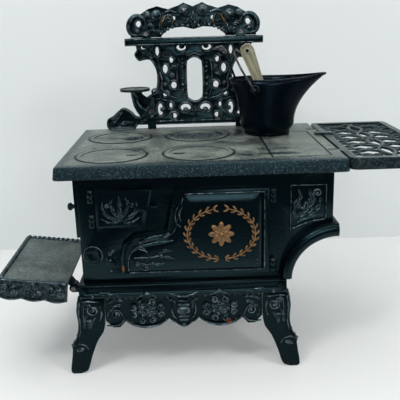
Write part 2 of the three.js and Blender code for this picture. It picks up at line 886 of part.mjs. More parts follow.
// The cooktop: a slab with a rounded top edge, whose sides flare out a little to the bottom.
function makeCooktop() {
  const b = top_bevel;
  const lipBottom = cooktop_height - top_lip_drop;
  const top = loft([
    topRing(top_flare - top_foot_bevel, lipBottom),
    topRing(top_flare, lipBottom + top_foot_bevel),
    topRing(0, cooktop_height - b),
    topRing(-b * (1 - Math.SQRT1_2), cooktop_height - b * (1 - Math.SQRT1_2)),
    topRing(-b, cooktop_height),
  ]);
  const pocket = box(
    top_left + top_lip_wall, top_right - top_lip_wall,
    top_lip_wall, cooktop_depth - top_lip_wall,
    lipBottom - overrun, plate_under,
  );
  const above = cooktop_height + overrun;
  const holes = lid_columns.flatMap((x) =>
    lid_rows.flatMap((y) => [
      postZ(x, y, ledge_top, above, lid_hole_radius, round_sides),
      postZ(x, y, plate_under - overrun, above, lid_hole_radius - lid_ledge, round_sides),
    ]),
  );
  const [cx0, cx1] = [cover_left, cover_left + cover_width];
  const [cy0, cy1] = [cover_front, cover_front + cover_length];
  const tank = [
    box(cx0 - seat_gap, cx1 + seat_gap, cy0 - seat_gap, cy1 + seat_gap, ledge_top, above),
    box(
      cx0 + cover_left_ledge, cx1 - cover_ledge,
      cy0 + cover_ledge, cy1 - cover_ledge, plate_under - overrun, above,
    ),
    box(
      cx0 + cover_notch_from_left, cx0 + cover_notch_from_left + cover_notch_width,
      cy0 - cover_notch_depth, cy0, ledge_top, above,
    ),
  ];
  const [backY0, backY1] = [back_front - slot_gap, back_rear + slot_gap];
  const slots = [-1, 1].map((way) => {
    const ends = [back_centre + way * tab_inner, back_centre + way * tab_outer].sort((a, c) => a - c);
    return box(ends[0] + seat_gap, ends[1] - seat_gap, backY0, backY1, plate_under - overrun, above);
  });
  const notches = hook_places.map((y) => {
    const half = hook_width / 2 + hook_slot_gap;
    const reach = top_lip_wall + hook_wall + 2 * hook_slot_gap;
    const notchFloor = cooktop_height - hook_arm - 2 * seat_gap - hook_slot_gap;
    return box(top_right - reach, top_right + overrun, y - half, y + half, notchFloor, above);
  });
  const bossLow = plate_under - rod_boss_drop;
  const boreTop = plate_under - rod_cap / 2;
  const bosses = rod_xs.flatMap((x) =>
    rod_ys.map((y) => postZ(x, y, bossLow, plate_under + rod_cap / 2, rod_boss_radius)),
  );
  const bores = rod_xs.flatMap((x) =>
    rod_ys.map((y) => postZ(x, y, bossLow - overrun, boreTop, rod_radius + seat_gap)),
  );
  const between = (lid_columns[0] + lid_columns[1]) / 2;
  const ridge = (x, width) => box(
    x - width / 2, x + width / 2, rib_inset, cooktop_depth - 2 * rib_inset,
    cooktop_height - seat_gap, cooktop_height + rib_height,
  );
  const ridges = [
    ridge(between - rib_width, rib_width / 2),
    ridge(between + rib_width, rib_width / 2),
    ridge(divider_x, rib_width),
  ];
  const whole = join(cut(top, pocket), ...bosses, ...ridges);
  addPiece("cooktop", cut(whole, ...holes, ...tank, ...slots, ...notches, ...bores), cooked);
}

// Four lids with a raised rim and a blind slot that faces the middle of the cooktop.
function makeLids() {
  const names = [["lid_front_left", "lid_rear_left"], ["lid_front_right", "lid_rear_right"]];
  const radius = lid_hole_radius - lift_gap;
  const bottom = ledge_top + seat_gap;
  const top = bottom + lid_thickness;
  const middleX = (lid_columns[0] + lid_columns[1]) / 2;
  lid_columns.forEach((x, i) => {
    lid_rows.forEach((y, j) => {
      const disc = postZ(x, y, bottom, top, radius, round_sides);
      const dish = postZ(x, y, top - lid_rim_drop, top + overrun, radius - lid_rim, round_sides);
      const angle = Math.atan2(0, middleX - x);
      const half = lid_slot_length / 2;
      const slot = solid(
        new THREE.BoxGeometry(lid_slot_length, lid_slot_width, lid_thickness)
          .translate(lid_slot_reach - half / 2, 0, 0)
          .rotateZ(angle)
          .translate(x, y, top - lid_rim_drop - lid_slot_depth + lid_thickness / 2),
      );
      addPiece(names[i][j], cut(disc, dish, slot), cooked);
    });
  });
}

function makeReservoirCover() {
  const low = ledge_top + seat_gap;
  const [right, rear] = [cover_left + cover_width, cover_front + cover_length];
  const shape = roundedRect(cover_left, cover_front, right, rear, 2 * seat_gap);
  addPiece("reservoir_cover", flat(shape, low, low + cover_thickness), cooked);
}

function makeTieRods() {
  const names = [["front_left", "rear_left"], ["front_right", "rear_right"]];
  const bottom = base_height - ledge_thickness - nut_height - rod_tail / 2;
  const nutTop = base_height - ledge_thickness - seat_gap;
  rod_xs.forEach((x, i) => {
    rod_ys.forEach((y, j) => {
      const rodTop = plate_under - rod_cap / 2 - seat_gap;
      addPiece("tie_rod_" + names[i][j], postZ(x, y, bottom, rodTop, rod_radius), steel);
      const nut = cut(
        postZ(x, y, nutTop - nut_height, nutTop, nut_radius, nut_sides),
        postZ(x, y, nutTop - nut_height - overrun, nutTop + overrun, rod_radius + seat_gap),
      );
      addPiece("tie_nut_" + names[i][j], nut, steel);
    });
  });
}

// A plate door with a raised rim, drawn by an outline that takes an inset.
function rimmedDoor(drawn) {
  const plate = upright(drawn(0), door_front, door_back);
  const rim = cut(
    upright(drawn(0), door_front - rim_proud, door_front + seat_gap),
    upright(drawn(rim_width), door_front - 2 * rim_proud, door_front + 2 * seat_gap),
  );
  return join(plate, rim);
}

// Clears the door's own plate round the lower half of each hinge, then bores the barrels.
function hungDoor(door, x, rises, bottom, reachTo) {
  const clear = rises.map((rise) => {
    const top = bottom + rise + seat_gap;
    return postZ(x, hinge_y, top - barrel_length - 2 * seat_gap, top, barrel_radius + seat_gap);
  });
  const boreTop = bottom + Math.max(...rises) + 2 * barrel_length;
  const bore = postZ(x, hinge_y, bottom - overrun, boreTop, pin_radius + pin_gap);
  return cut(join(cut(door, ...clear), ...doorBarrels(x, rises, bottom, reachTo)), bore);
}

function makeFireDoor() {
  const right = fire_door_left + fire_door_width;
  const latchX = right - fire_door_slant / 2 + fire_latch_lap - fire_latch_length;
  const latchZ = fire_door_top - fire_door_height / 2;
  const latch = box(
    latchX, latchX + fire_latch_length,
    door_front - fire_latch_proud, door_front + seat_gap,
    latchZ - fire_latch_height / 2, latchZ + fire_latch_height / 2,
  );
  const plate = rimmedDoor(fireOutline);
  const reachTo = fire_door_left + rim_width;
  const door = hungDoor(plate, fire_hinge_x, fire_hinge_rises, fire_bottom, reachTo);
  addPiece("fire_door", join(door, latch), japanned);
  fire_hinge_rises.forEach((rise, i) => {
    const low = fire_bottom + rise - barrel_length;
    hingePin(["fire_door_pin_lower", "fire_door_pin_upper"][i], fire_hinge_x, hinge_y, low);
  });
}

function makeOvenDoor() {
  const plate = rimmedDoor(ovenOutline);
  const reachTo = oven_door_right - rim_width;
  const door = hungDoor(plate, oven_hinge_x, oven_hinge_rises, oven_door_bottom, reachTo);
  addPiece("oven_door", door, japanned);
  oven_hinge_rises.forEach((rise, i) => {
    const low = oven_door_bottom + rise - barrel_length;
    hingePin(["oven_door_pin_lower", "oven_door_pin_upper"][i], oven_hinge_x, hinge_y, low);
  });
}

// The knob outside the door: radius and reach as shares of the knob's radius and length.
const knob_profile_shares = [[0.7, 0], [0.5, 0.32], [1, 0.58], [0.8, 0.86], [0, 1]];

function makeSideDoor() {
  const face = body_left - seat_gap;
  const out = face - door_thickness;
  const rear = side_door_front + side_door_width;
  const axisY = rear + hinge_reach;
  const top = side_door_bottom + side_door_height;
  const knobY = side_door_front + knob_inset;
  const knobZ = side_door_bottom + knob_rise;
  const plate = box(out, face, side_door_front, rear, side_door_bottom, top);
  const barrels = side_hinge_rises.map((rise) => {
    const low = side_door_bottom + rise + seat_gap;
    const web = box(out, face, rear - rim_width, axisY, low, low + barrel_length);
    return join(barrelZ(side_hinge_x, axisY, low, low + barrel_length), web);
  });
  const bore = postZ(side_hinge_x, axisY, side_door_bottom - overrun, top + overrun, pin_radius + pin_gap);
  const hole = postX(knobY, knobZ, out - overrun, face + overrun, knob_neck + pin_gap);
  addPiece("side_door", cut(join(plate, ...barrels), bore, hole), japanned);
  const stem = door_thickness + seat_gap;
  const profile = [
    [0, 0], [knob_neck, 0], [knob_neck, stem],
    ...knob_profile_shares.map(([r, h]) => [r * knob_radius, stem + h * knob_length]),
  ];
  const points = profile.map(([r, h]) => new THREE.Vector2(r, h));
  const turned = new THREE.LatheGeometry(points, small_sides);
  const knob = solid(turned.rotateZ(Math.PI / 2).translate(face, knobY, knobZ));
  addPiece("side_door_knob", knob, japanned);
}

// Half of the high back's outline, from the middle of its bottom bar round to the middle of
// its top: distance from the middle as a share of the half width, height as a share.
const back_outline_shares = [
  [0, 0.05], [0.4475, 0.05], [0.4475, 0], [0.5414, 0], [0.5414, 0.05], [0.674, 0.05],
  [0.7, 0.012], [0.73, 0], [0.95, 0], [1, 0.035], [0.99, 0.11], [0.93, 0.145], [0.87, 0.2],
  [0.81, 0.237], [0.74, 0.2], [0.685, 0.14], [0.63, 0.133], [0.613, 0.21], [0.6, 0.29],
  [0.53, 0.36], [0.46, 0.41], [0.415, 0.485], [0.409, 0.66], [0.475, 0.8], [0.558, 0.81],
  [0.608, 0.8], [0.646, 0.855], [0.62, 0.91], [0.635, 1], [0, 1],
];

// Openings in the high back's left half: place and half sizes as shares in the same way,
// and a turn in radians.
const back_opening_shares = [
  [0.138, 0.92, 0.056, 0.04, 0], [0.4, 0.885, 0.025, 0.055, 0], [0.25, 0.79, 0.026, 0.042, 0],
  [0.32, 0.687, 0.032, 0.055, 0.2], [0.232, 0.5, 0.036, 0.044, 0], [0.33, 0.4, 0.03, 0.03, 0],
  [0.392, 0.225, 0.034, 0.077, 0], [0.274, 0.27, 0.022, 0.037, 0], [0.11, 0.237, 0.062, 0.05, 0],
  [0.243, 0.148, 0.038, 0.036, 0], [0.55, 0.93, 0.03, 0.025, 0], [0.49, 0.165, 0.03, 0.026, 0],
  [0.545, 0.27, 0.016, 0.02, 0],
];
const back_slot_half_share = 0.09;
const back_slot_bottom_share = 0.306;
const back_slot_top_share = 0.816;

function frettedPlate(drawn, openings, halfWidth, height, centre, bottom) {
  for (const [x, z, rx, rz, turn] of openings) {
    for (const way of [-1, 1]) {
      const place = [centre + way * x * halfWidth, bottom + z * height];
      drawn.holes.push(oval(...place, rx * halfWidth, rz * height, way * turn));
    }
  }
  return drawn;
}

function rivetHole(x, z) {
  return postY(x, z, back_front - 2 * flange_thickness, back_rear + overrun, rivet_radius + pin_gap);
}

const shelf_rivet_z = shelf_under - shelf_rivet_drop;
const crest_rivet_z = crest_bottom + crest_rivet_rise;
const teapot_rivet_x = back_centre + teapot_pad_offset;
const teapot_rivet_z = back_bottom + teapot_rivet_rise;

function makeHighBack() {
  const [w, h] = [back_half_width, back_height];
  const drawn = mirroredOutline(back_outline_shares, w, h, back_centre, back_bottom);
  frettedPlate(drawn, back_opening_shares, w, h, back_centre, back_bottom);
  const half = back_slot_half_share * w;
  const slot = roundedRect(
    back_centre - half, back_bottom + back_slot_bottom_share * h,
    back_centre + half, back_bottom + back_slot_top_share * h, half - seat_gap,
  );
  drawn.holes.push(new THREE.Path(slot.getPoints(corner_steps)));
  const tenons = [-1, 1].map((way) => {
    const ends = [back_centre + way * tab_inner, back_centre + way * tab_outer].sort((a, b) => a - b);
    const [x0, x1] = [ends[0] + seat_gap + slot_gap, ends[1] - seat_gap - slot_gap];
    return box(x0, x1, back_front, back_rear, back_bottom - tenon_drop, back_bottom + seat_gap);
  });
  const holes = [-1, 1].map((way) => rivetHole(back_centre + way * shelf_rivet_offset, shelf_rivet_z));
  const panel = join(upright(drawn, back_front, back_rear, corner_steps), ...tenons);
  addPiece("high_back", cut(panel, ...holes, rivetHole(teapot_rivet_x, teapot_rivet_z)), japanned);
}

// Half of the crest's outline, from the top of the arch gap round to the middle of its top.
const crest_outline_shares = [
  [0, 0.21], [0.15, 0.29], [0.37, 0.25], [0.45, 0.18], [0.49, 0], [0.96, 0], [0.95, 0.07], [1, 0.43],
  [0.9, 0.57], [0.81, 0.67], [0.68, 0.835], [0.54, 0.915], [0.43, 0.85], [0.37, 0.82], [0.28, 0.885],
  [0.225, 0.915], [0.14, 1], [0, 0.885],
];
const crest_opening_shares = [
  [0.83, 0.4, 0.042, 0.107, 0.3], [0.65, 0.29, 0.04, 0.065, 0], [0.3, 0.55, 0.035, 0.07, 0.5],
];

function makeCrest() {
  const [w, h] = [crest_half_width, crest_height];
  const drawn = mirroredOutline(crest_outline_shares, w, h, back_centre, crest_bottom);
  frettedPlate(drawn, crest_opening_shares, w, h, back_centre, crest_bottom);
  const holes = [-1, 1].map((way) => rivetHole(back_centre + way * crest_rivet_offset, crest_rivet_z));
  addPiece("crest", cut(upright(drawn, back_front, back_rear, corner_steps), ...holes), japanned);
}

function makeRivet(name, x, z, front) {
  const rear = back_rear + seat_gap;
  const near = front - seat_gap;
  const rivet = join(
    postY(x, z, near - rivet_head_height, rear + rivet_head_height, rivet_radius),
    postY(x, z, near - rivet_head_height, near, rivet_head),
    postY(x, z, rear, rear + rivet_head_height, rivet_head),
  );
  addPiece(name, rivet, steel);
}

function makeWarmingShelf() {
  const front = back_rear - shelf_depth;
  const [x0, x1] = [back_centre - shelf_half_width, back_centre + shelf_half_width];
  const lipBottom = shelf_top - shelf_lip;
  const outer = flat(roundedRect(x0, front, x1, back_rear, shelf_corner), lipBottom, shelf_top);
  const hollow = box(
    x0 + shelf_lip_wall, x1 - shelf_lip_wall, front + shelf_lip_wall, back_rear + overrun,
    lipBottom - overrun, shelf_top - shelf_plate,
  );
  const flangeBack = back_front - seat_gap;
  const flangeFront = flangeBack - flange_thickness;
  const tabs = [-1, 1].flatMap((way) => {
    const half = 2 * rivet_head;
    const lowX = back_centre + way * shelf_rivet_offset;
    const highX = back_centre + way * crest_rivet_offset;
    const root = shelf_top - seat_gap;
    const drop = shelf_under - flange_drop;
    const rise = shelf_top + flange_drop;
    return [
      cut(
        box(lowX - half, lowX + half, flangeFront, flangeBack, drop, root),
        rivetHole(lowX, shelf_rivet_z),
      ),
      cut(
        box(highX - half, highX + half, flangeFront, flangeBack, root, rise),
        rivetHole(highX, crest_rivet_z),
      ),
    ];
  });
  addPiece("warming_shelf", join(cut(outer, hollow), ...tabs), japanned);
  [-1, 1].forEach((way, i) => {
    const side = ["left", "right"][i];
    makeRivet("shelf_rivet_" + side, back_centre + way * shelf_rivet_offset, shelf_rivet_z, flangeFront);
    makeRivet("crest_rivet_" + side, back_centre + way * crest_rivet_offset, crest_rivet_z, flangeFront);
  });
}

// A small round shelf on a curved bracket, riveted to the high back's left wing.
function makeTeapotShelf() {
  const x = back_centre + teapot_offset;
  const padBack = back_front - seat_gap;
  const padFront = padBack - flange_thickness;
  const y = padBack - teapot_radius;
  const top = back_bottom + teapot_rise + teapot_plate;
  const disc = cut(
    postZ(x, y, top - teapot_plate, top, teapot_radius, round_sides),
    postZ(x, y, top - teapot_plate / 3, top + overrun, teapot_radius - teapot_rim, round_sides),
  );
  const padX = teapot_rivet_x;
  const padLow = teapot_rivet_z - teapot_pad_below;
  const padHigh = teapot_rivet_z + teapot_pad_above;
  const padHalf = teapot_pad_width / 2;
  const pad = cut(
    box(padX - padHalf, padX + padHalf, padFront, padBack, padLow, padHigh),
    rivetHole(teapot_rivet_x, teapot_rivet_z),
  );
  const path = new THREE.QuadraticBezierCurve3(
    new THREE.Vector3(padX - padHalf / 2, padFront + seat_gap, padHigh - teapot_arm_width / 2),
    new THREE.Vector3((padX + 2 * x) / 3, y + teapot_radius / 3, padHigh),
    new THREE.Vector3(x, y, top - teapot_plate / 2),
  );
  const half = teapot_arm_width / 2;
  const section = roundedRect(-half, -half, half, half, half / 2);
  const swept = { steps: small_sides, extrudePath: path, curveSegments: 1 };
  const arm = solid(new THREE.ExtrudeGeometry(section, swept));
  addPiece("teapot_shelf", join(disc, pad, arm), japanned);
  makeRivet("teapot_rivet", teapot_rivet_x, teapot_rivet_z, padFront);
}

// Hearth shelf: drawn level, then turned about its hinge line to the slant at which it rests.
const hearth_hinge_x = base_left - hearth_hinge_reach;

function makeHearthShelf() {
  const right = hearth_hinge_x - hearth_start;
  const left = right - hearth_width;
  const rear = hearth_front + hearth_depth;
  const low = hearth_hinge_z + hearth_plate_rise;
  const top = low + hearth_plate;
  const s = hearth_skirt;
  const plate = box(left, right, hearth_front, rear, low, top);
  const skirtBottom = top - hearth_front_drop;
  const lobe = hearth_width / hearth_lobes;
  const edge = new THREE.Shape();
  edge.moveTo(right, top - seat_gap);
  edge.lineTo(left, top - seat_gap);
  edge.lineTo(left, skirtBottom);
  for (let i = 0; i < hearth_lobes; i += 1) {
    const start = left + i * lobe;
    edge.quadraticCurveTo(start + lobe / 2, skirtBottom - 2 * hearth_lobe_drop, start + lobe, skirtBottom);
  }
  const front = upright(edge, hearth_front, hearth_front + s);
  const sides = [
    box(left, left + s, hearth_front, rear, top - hearth_side_drop, top - seat_gap),
    box(left, right, rear - s, rear, top - hearth_side_drop, top - seat_gap),
  ];
  const barrels = hearth_ears.map((y) => {
    const barrel = postY(hearth_hinge_x, hearth_hinge_z, y, y + hearth_ear_length, hearth_barrel);
    const armEnd = right - 2 * hearth_barrel;
    const arm = outline([
      [hearth_hinge_x, hearth_hinge_z - hearth_barrel],
      [hearth_hinge_x + hearth_barrel, hearth_hinge_z],
      [right, top - seat_gap],
      [armEnd, top - seat_gap],
      [armEnd, low - seat_gap],
    ]);
    const end = y + hearth_ear_length;
    const bore = postY(hearth_hinge_x, hearth_hinge_z, y - overrun, end + overrun, hearth_pin + pin_gap);
    return cut(join(barrel, upright(arm, y, end)), bore);
  });
  const level = join(plate, front, ...sides, ...barrels);
  const turn = new THREE.Matrix4()
    .makeTranslation(hearth_hinge_x, 0, hearth_hinge_z)
    .multiply(new THREE.Matrix4().makeRotationY(THREE.MathUtils.degToRad(hearth_tilt_deg)))
    .multiply(new THREE.Matrix4().makeTranslation(-hearth_hinge_x, 0, -hearth_hinge_z));
  addPiece("hearth_shelf", moved(level, turn), japanned);
  hearth_ears.forEach((y, i) => {
    const start = y - hearth_ear_length - 2 * seat_gap;
    const end = y + hearth_ear_length + seat_gap;
    const pin = join(
      postY(hearth_hinge_x, hearth_hinge_z, start - pin_head_height, end, hearth_pin),
      postY(hearth_hinge_x, hearth_hinge_z, start - pin_head_height, start, pin_head),
    );
    addPiece(["hearth_pin_front", "hearth_pin_rear"][i], pin, steel);
  });
}

// End shelf: a bordered openwork plate whose two hooks drop into notches in the cooktop's edge.
function makeEndShelf() {
  const x0 = top_right + end_shelf_gap;
  const x1 = x0 + end_shelf_width;
  const y0 = end_shelf_front;
  const y1 = y0 + end_shelf_depth;
  const top = cooktop_height;
  const b = end_shelf_border;
  const drawn = roundedRect(x0, y0, x1, y1, end_shelf_corner);
  const frame = cut(
    flat(drawn, top - end_shelf_height, top),
    box(x0 + b, x1 - b, y0 + b, y1 - b, top - end_shelf_height - overrun, top + overrun),
  );
  const lap = b - seat_gap;
  const web = roundedRect(x0 + lap, y0 + lap, x1 - lap, y1 - lap, seat_gap);
  const cellX = (end_shelf_width - 2 * b) / fret_columns;
  const cellY = (end_shelf_depth - 2 * b) / fret_rows;
  const cell = Math.min(cellX, cellY);
  for (let i = 0; i < fret_columns; i += 1) {
    for (let j = 0; j < fret_rows; j += 1) {
      const turn = ((i + j) % 2 ? 1 : -1) * (Math.PI / 4);
      const place = [x0 + b + i * cellX + cellX / 2, y0 + b + j * cellY + cellY / 2];
      web.holes.push(oval(...place, cell * fret_long_share, cell * fret_short_share, turn));
    }
  }
  const plate = flat(web, top - end_shelf_plate, top - seat_gap);
  const hooks = hook_places.flatMap((y) => {
    const half = hook_width / 2;
    const lipBack = top_right - top_lip_wall - hook_slot_gap;
    const armTop = top - seat_gap;
    return [
      box(lipBack - hook_wall, x0 + seat_gap, y - half, y + half, armTop - hook_arm, armTop),
      box(lipBack - hook_wall, lipBack, y - half, y + half, top - hook_drop, armTop),
    ];
  });
  const lugTop = top + seat_gap + stop_lug_height;
  const [lug0, lug1] = [stop_lug_y - stop_lug_width / 2, stop_lug_y + stop_lug_width / 2];
  const lugEnd = x0 + stop_lug_width;
  const lug = join(
    box(top_right - stop_lug_reach, lugEnd, lug0, lug1, top + seat_gap, lugTop),
    box(x0 + seat_gap, lugEnd, lug0, lug1, top - seat_gap, lugTop),
  );
  addPiece("end_shelf", join(frame, plate, ...hooks, lug), cooked);
}

// The scuttle stands in a group of its own, turned so that its spout points a little forwards.
const scuttle = new THREE.Group();
scuttle.position.set(top_right - scuttle_right_inset, scuttle_y, cooktop_height + seat_gap);
scuttle.rotation.z = THREE.MathUtils.degToRad(scuttle_turn_deg);
stove.add(scuttle);

// One level of the scuttle: round low down, drawn out to the back and the spout at the mouth.
// share runs from 0 at the belly to 1 at the mouth.
function scuttleRing(share, inset, drop = 0) {
  const swell = share * share;
  const back = THREE.MathUtils.lerp(scuttle_belly_radius, scuttle_back_reach, swell) - inset;
  const spout = THREE.MathUtils.lerp(scuttle_belly_radius, scuttle_spout_reach, swell) - inset;
  const side = THREE.MathUtils.lerp(scuttle_belly_radius, scuttle_half_mouth, share) - inset;
  const level = THREE.MathUtils.lerp(scuttle_belly_rise, scuttle_height, share) - drop;
  return Array.from({ length: scuttle_sides }, (_, i) => {
    const angle = (i / scuttle_sides) * 2 * Math.PI;
    const ahead = Math.max(Math.cos(angle), 0);
    const reach = Math.cos(angle) > 0 ? spout : back;
    const narrow = 1 - scuttle_spout_narrow_share * share * ahead * ahead;
    const lift = share * scuttle_spout_rise * ahead * ahead;
    return new THREE.Vector3(reach * Math.cos(angle), side * Math.sin(angle) * narrow, level + lift);
  });
}

function roundRing(radius, z) {
  return Array.from({ length: scuttle_sides }, (_, i) => {
    const angle = (i / scuttle_sides) * 2 * Math.PI;
    return new THREE.Vector3(radius * Math.cos(angle), radius * Math.sin(angle), z);
  });
}

const scuttle_level_shares = [0, 0.3, 0.6, 0.85, 1];

function makeScuttle() {
  const outer = scuttle_level_shares.map((share) => scuttleRing(share, 0));
  const inner = [...scuttle_level_shares].reverse().map((share) => scuttleRing(share, scuttle_wall));
  const body = loft([
    roundRing(scuttle_foot_radius, 0),
    roundRing(scuttle_foot_radius, scuttle_foot_height),
    ...outer,
    ...inner,
    roundRing(scuttle_foot_radius - scuttle_wall, scuttle_foot_height + scuttle_floor),
  ]);
  const ears = [-1, 1].map((way) => {
    const far = way * (ear_stand + ear_thickness);
    const [y0, y1] = [way * ear_stand, far].sort((a, b) => a - b);
    const [w0, w1] = [way * (scuttle_half_mouth - scuttle_wall), far].sort((a, b) => a - b);
    const disc = postY(ear_x, ear_rise, y0, y1, ear_radius);
    const bore = postY(ear_x, ear_rise, y0 - overrun, y1 + overrun, bail_wire + pin_gap);
    const half = ear_radius / 2;
    const webTop = ear_rise - half;
    const web = box(ear_x - half, ear_x + half, w0, w1, webTop - ear_web_height, webTop);
    return cut(join(disc, web), bore);
  });
  addPiece("scuttle_bucket", join(body, ...ears), black_tin, scuttle);
}

// The bail: one wire whose ends turn inwards through the ears. Its bow is given as shares of
// its half span and of its height, from the shoulder to the crown.
const bail_bow_shares = [[1, 0.27], [0.95, 0.55], [0.6, 0.9]];
const bail_tension_share = 0.3;

function makeBail() {
  const end = ear_stand - (ear_stand - scuttle_half_mouth) / 3;
  const out = ear_stand + ear_thickness + 3 * bail_wire;
  const side = (way) => [
    new THREE.Vector3(0, way * end, 0),
    new THREE.Vector3(0, way * (out - bail_wire), 0),
    new THREE.Vector3(0, way * out, 2 * bail_wire),
    ...bail_bow_shares.map(([y, z]) => new THREE.Vector3(0, way * y * out, z * bail_height)),
  ];
  const crown = new THREE.Vector3(0, 0, bail_height);
  const points = [...side(-1), crown, ...side(1).reverse()];
  const path = new THREE.CatmullRomCurve3(points, false, "catmullrom", bail_tension_share);
  const section = new THREE.Shape();
  section.absarc(0, 0, bail_wire, 0, 2 * Math.PI);
  const wire = new THREE.ExtrudeGeometry(section, {
    steps: bail_steps,
    extrudePath: path,
    curveSegments: wire_sides,
  });
  const lean = THREE.MathUtils.degToRad(-bail_lean_deg);
  addPiece("scuttle_bail", solid(wire.rotateY(lean).translate(ear_x, 0, ear_rise)), steel, scuttle);
}

// The shovel: a scoop with turned-up edges and a tapered channel handle with a hanging hole.
function makeShovel() {
  const half = shovel_blade_width / 2;
  const neck = shovel_neck_width / 2;
  const wide = shovel_top_width / 2;
  const handleTop = shovel_length - wide;
  const shape = new THREE.Shape();
  shape.moveTo(-half, half / 2);
  shape.quadraticCurveTo(0, -half / 2, half, half / 2);
  shape.lineTo(half, shovel_blade_length);
  shape.lineTo(neck, shovel_blade_length + neck);
  shape.lineTo(wide, handleTop);
  shape.absarc(0, handleTop, wide, 0, Math.PI);
  shape.lineTo(-neck, shovel_blade_length + neck);
  shape.lineTo(-half, shovel_blade_length);
  shape.holes.push(oval(0, handleTop, shovel_hole, shovel_hole));
  const strip = upright(shape, 0, shovel_thickness, 2 * corner_steps);
  const rims = [-1, 1].map((way) => {
    const [x0, x1] = [way * half, way * (half - shovel_thickness)].sort((a, b) => a - b);
    return box(x0, x1, -shovel_edge, seat_gap, half / 2, shovel_blade_length);
  });
  const lean = THREE.MathUtils.degToRad(shovel_lean_deg);
  const place = new THREE.Matrix4()
    .makeTranslation(shovel_foot_x, shovel_offset_y, shovel_foot_rise)
    .multiply(new THREE.Matrix4().makeRotationY(lean));
  addPiece("shovel", moved(join(strip, ...rims), place), brass, scuttle);
}

// The lid lifter: a flat bar bent into a hook, drawn as a band of even thickness. Its points are
// shares of the scuttle's height, measured from the scuttle's middle and its foot.
const lifter_path_shares = [
  [-0.1, 0.155], [-0.31, 0.48], [-0.55, 0.955], [-0.686, 1.3], [-0.75, 1.44], [-0.84, 1.52], [-0.98, 1.54],
];

function makeLifter() {
  const points = lifter_path_shares.map(([x, z]) => new THREE.Vector2(x, z));
  points.forEach((point) => point.multiplyScalar(scuttle_height));
  const curve = new THREE.SplineCurve(points);
  const count = lifter_steps;
  const near = [];
  const far = [];
  for (let i = 0; i <= count; i += 1) {
    const p = curve.getPoint(i / count);
    const t = curve.getTangent(i / count);
    const half = lifter_thickness / 2;
    near.push([p.x - t.y * half, p.y + t.x * half]);
    far.push([p.x + t.y * half, p.y - t.x * half]);
  }
  const band = outline([...near, ...far.reverse()]);
  const bar = upright(band, lifter_offset_y, lifter_offset_y + lifter_width);
  const square = new THREE.Matrix4().makeRotationZ(-scuttle.rotation.z);
  addPiece("lid_lifter", moved(bar, square), black_tin, scuttle);
}

makeBaseFrame();
makeLegs();
makeFloor();
makeFrontPlate();
makeOtherPlates();
makeReservoir();
makePartition();
makeGrate();
makeCooktop();
makeLids();
makeReservoirCover();
makeTieRods();
makeFireDoor();
makeOvenDoor();
makeSideDoor();
makeHighBack();
makeCrest();
makeWarmingShelf();
makeTeapotShelf();
makeHearthShelf();
makeEndShelf();
makeScuttle();
makeBail();
makeShovel();
makeLifter();

// The stove's frame: middle of its outer box in X and Y, on the floor in Z.
const outer = new THREE.Box3().setFromObject(stove, true);
const middle = outer.getCenter(new THREE.Vector3());
stove.position.set(-middle.x, -middle.y, -outer.min.z);

export default stove;
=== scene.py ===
# %% [markdown]
# # A cast iron toy range, lit and finished in Blender
# The stove is a box of thin iron castings bolted together, with loose lids, a scuttle,
# a shovel and a lid lifter. Its measured shape is already made and packed as a frame.
# Here Blender gives it what a casting shows up close: soft edges, leaf and scroll relief,
# a twisted rope rim, black japan with worn high spots, and a dusty grey cooktop.
# Everything below is worked out with numpy as surfaces, in the frame's own place.

# %% Load the measured stove
import bmesh
import bpy
import numpy as np
from mathutils import Matrix, Vector
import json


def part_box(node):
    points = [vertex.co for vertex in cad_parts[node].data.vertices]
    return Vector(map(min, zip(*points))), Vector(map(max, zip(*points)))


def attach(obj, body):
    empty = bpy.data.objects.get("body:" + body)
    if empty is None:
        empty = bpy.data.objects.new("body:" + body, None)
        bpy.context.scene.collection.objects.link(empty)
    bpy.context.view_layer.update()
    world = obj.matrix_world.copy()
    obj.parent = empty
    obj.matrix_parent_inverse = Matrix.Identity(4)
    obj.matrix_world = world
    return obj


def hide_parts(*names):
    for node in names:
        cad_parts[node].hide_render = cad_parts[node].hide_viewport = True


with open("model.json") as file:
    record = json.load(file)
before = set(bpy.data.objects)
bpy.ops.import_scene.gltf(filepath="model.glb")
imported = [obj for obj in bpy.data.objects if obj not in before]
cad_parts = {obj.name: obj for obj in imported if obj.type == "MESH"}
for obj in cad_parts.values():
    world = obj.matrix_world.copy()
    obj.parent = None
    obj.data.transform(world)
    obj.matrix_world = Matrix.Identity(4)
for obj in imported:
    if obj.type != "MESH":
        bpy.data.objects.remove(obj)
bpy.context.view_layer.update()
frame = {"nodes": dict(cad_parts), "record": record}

MM, COOKTOP_FLARE = 0.001, 1.2
cooktop_low, cooktop_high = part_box("cooktop")
ORIGIN = np.array([(cooktop_low.x + cooktop_high.x) / 2, cooktop_low.y + COOKTOP_FLARE * MM, 0.0])

# %% [markdown]
# ## Where things are
# A stove is drawn from its cooktop: x to the right of the middle, y back from the front
# edge, z up from the floor, in millimetres. The shapes could be written in the frame's
# metres at once, but one function that turns such a place into them lets the numbers
# below read like a maker's drawing.

# %% Millimetres on the stove to metres in the frame
def placed(points):
    """Stove millimetres to frame metres: a thousandth of the point, plus the cooktop's origin."""
    return np.asarray(points, float) * MM + ORIGIN


print("cooktop origin in the frame", ORIGIN.round(5))

# %% [markdown]
# ## The camera
# The picture is taken a little above the cooktop, nearly straight on, from half a metre.
# Its turn is three small angles: to the side, down, and a slight lean of the horizon. A
# camera can be aimed at an empty by hand, but only fitted numbers put edges on edges.

# %% Camera at the photograph's viewing angle
CAMERA_PLACE = (-10.4, -464.7, 290.3)
CAMERA_YAW, CAMERA_PITCH, CAMERA_ROLL = -0.018, 0.288, 0.028
FOCAL_PIXELS, FRAME_PIXELS, SENSOR_WIDTH = 617.95, 400, 36.0


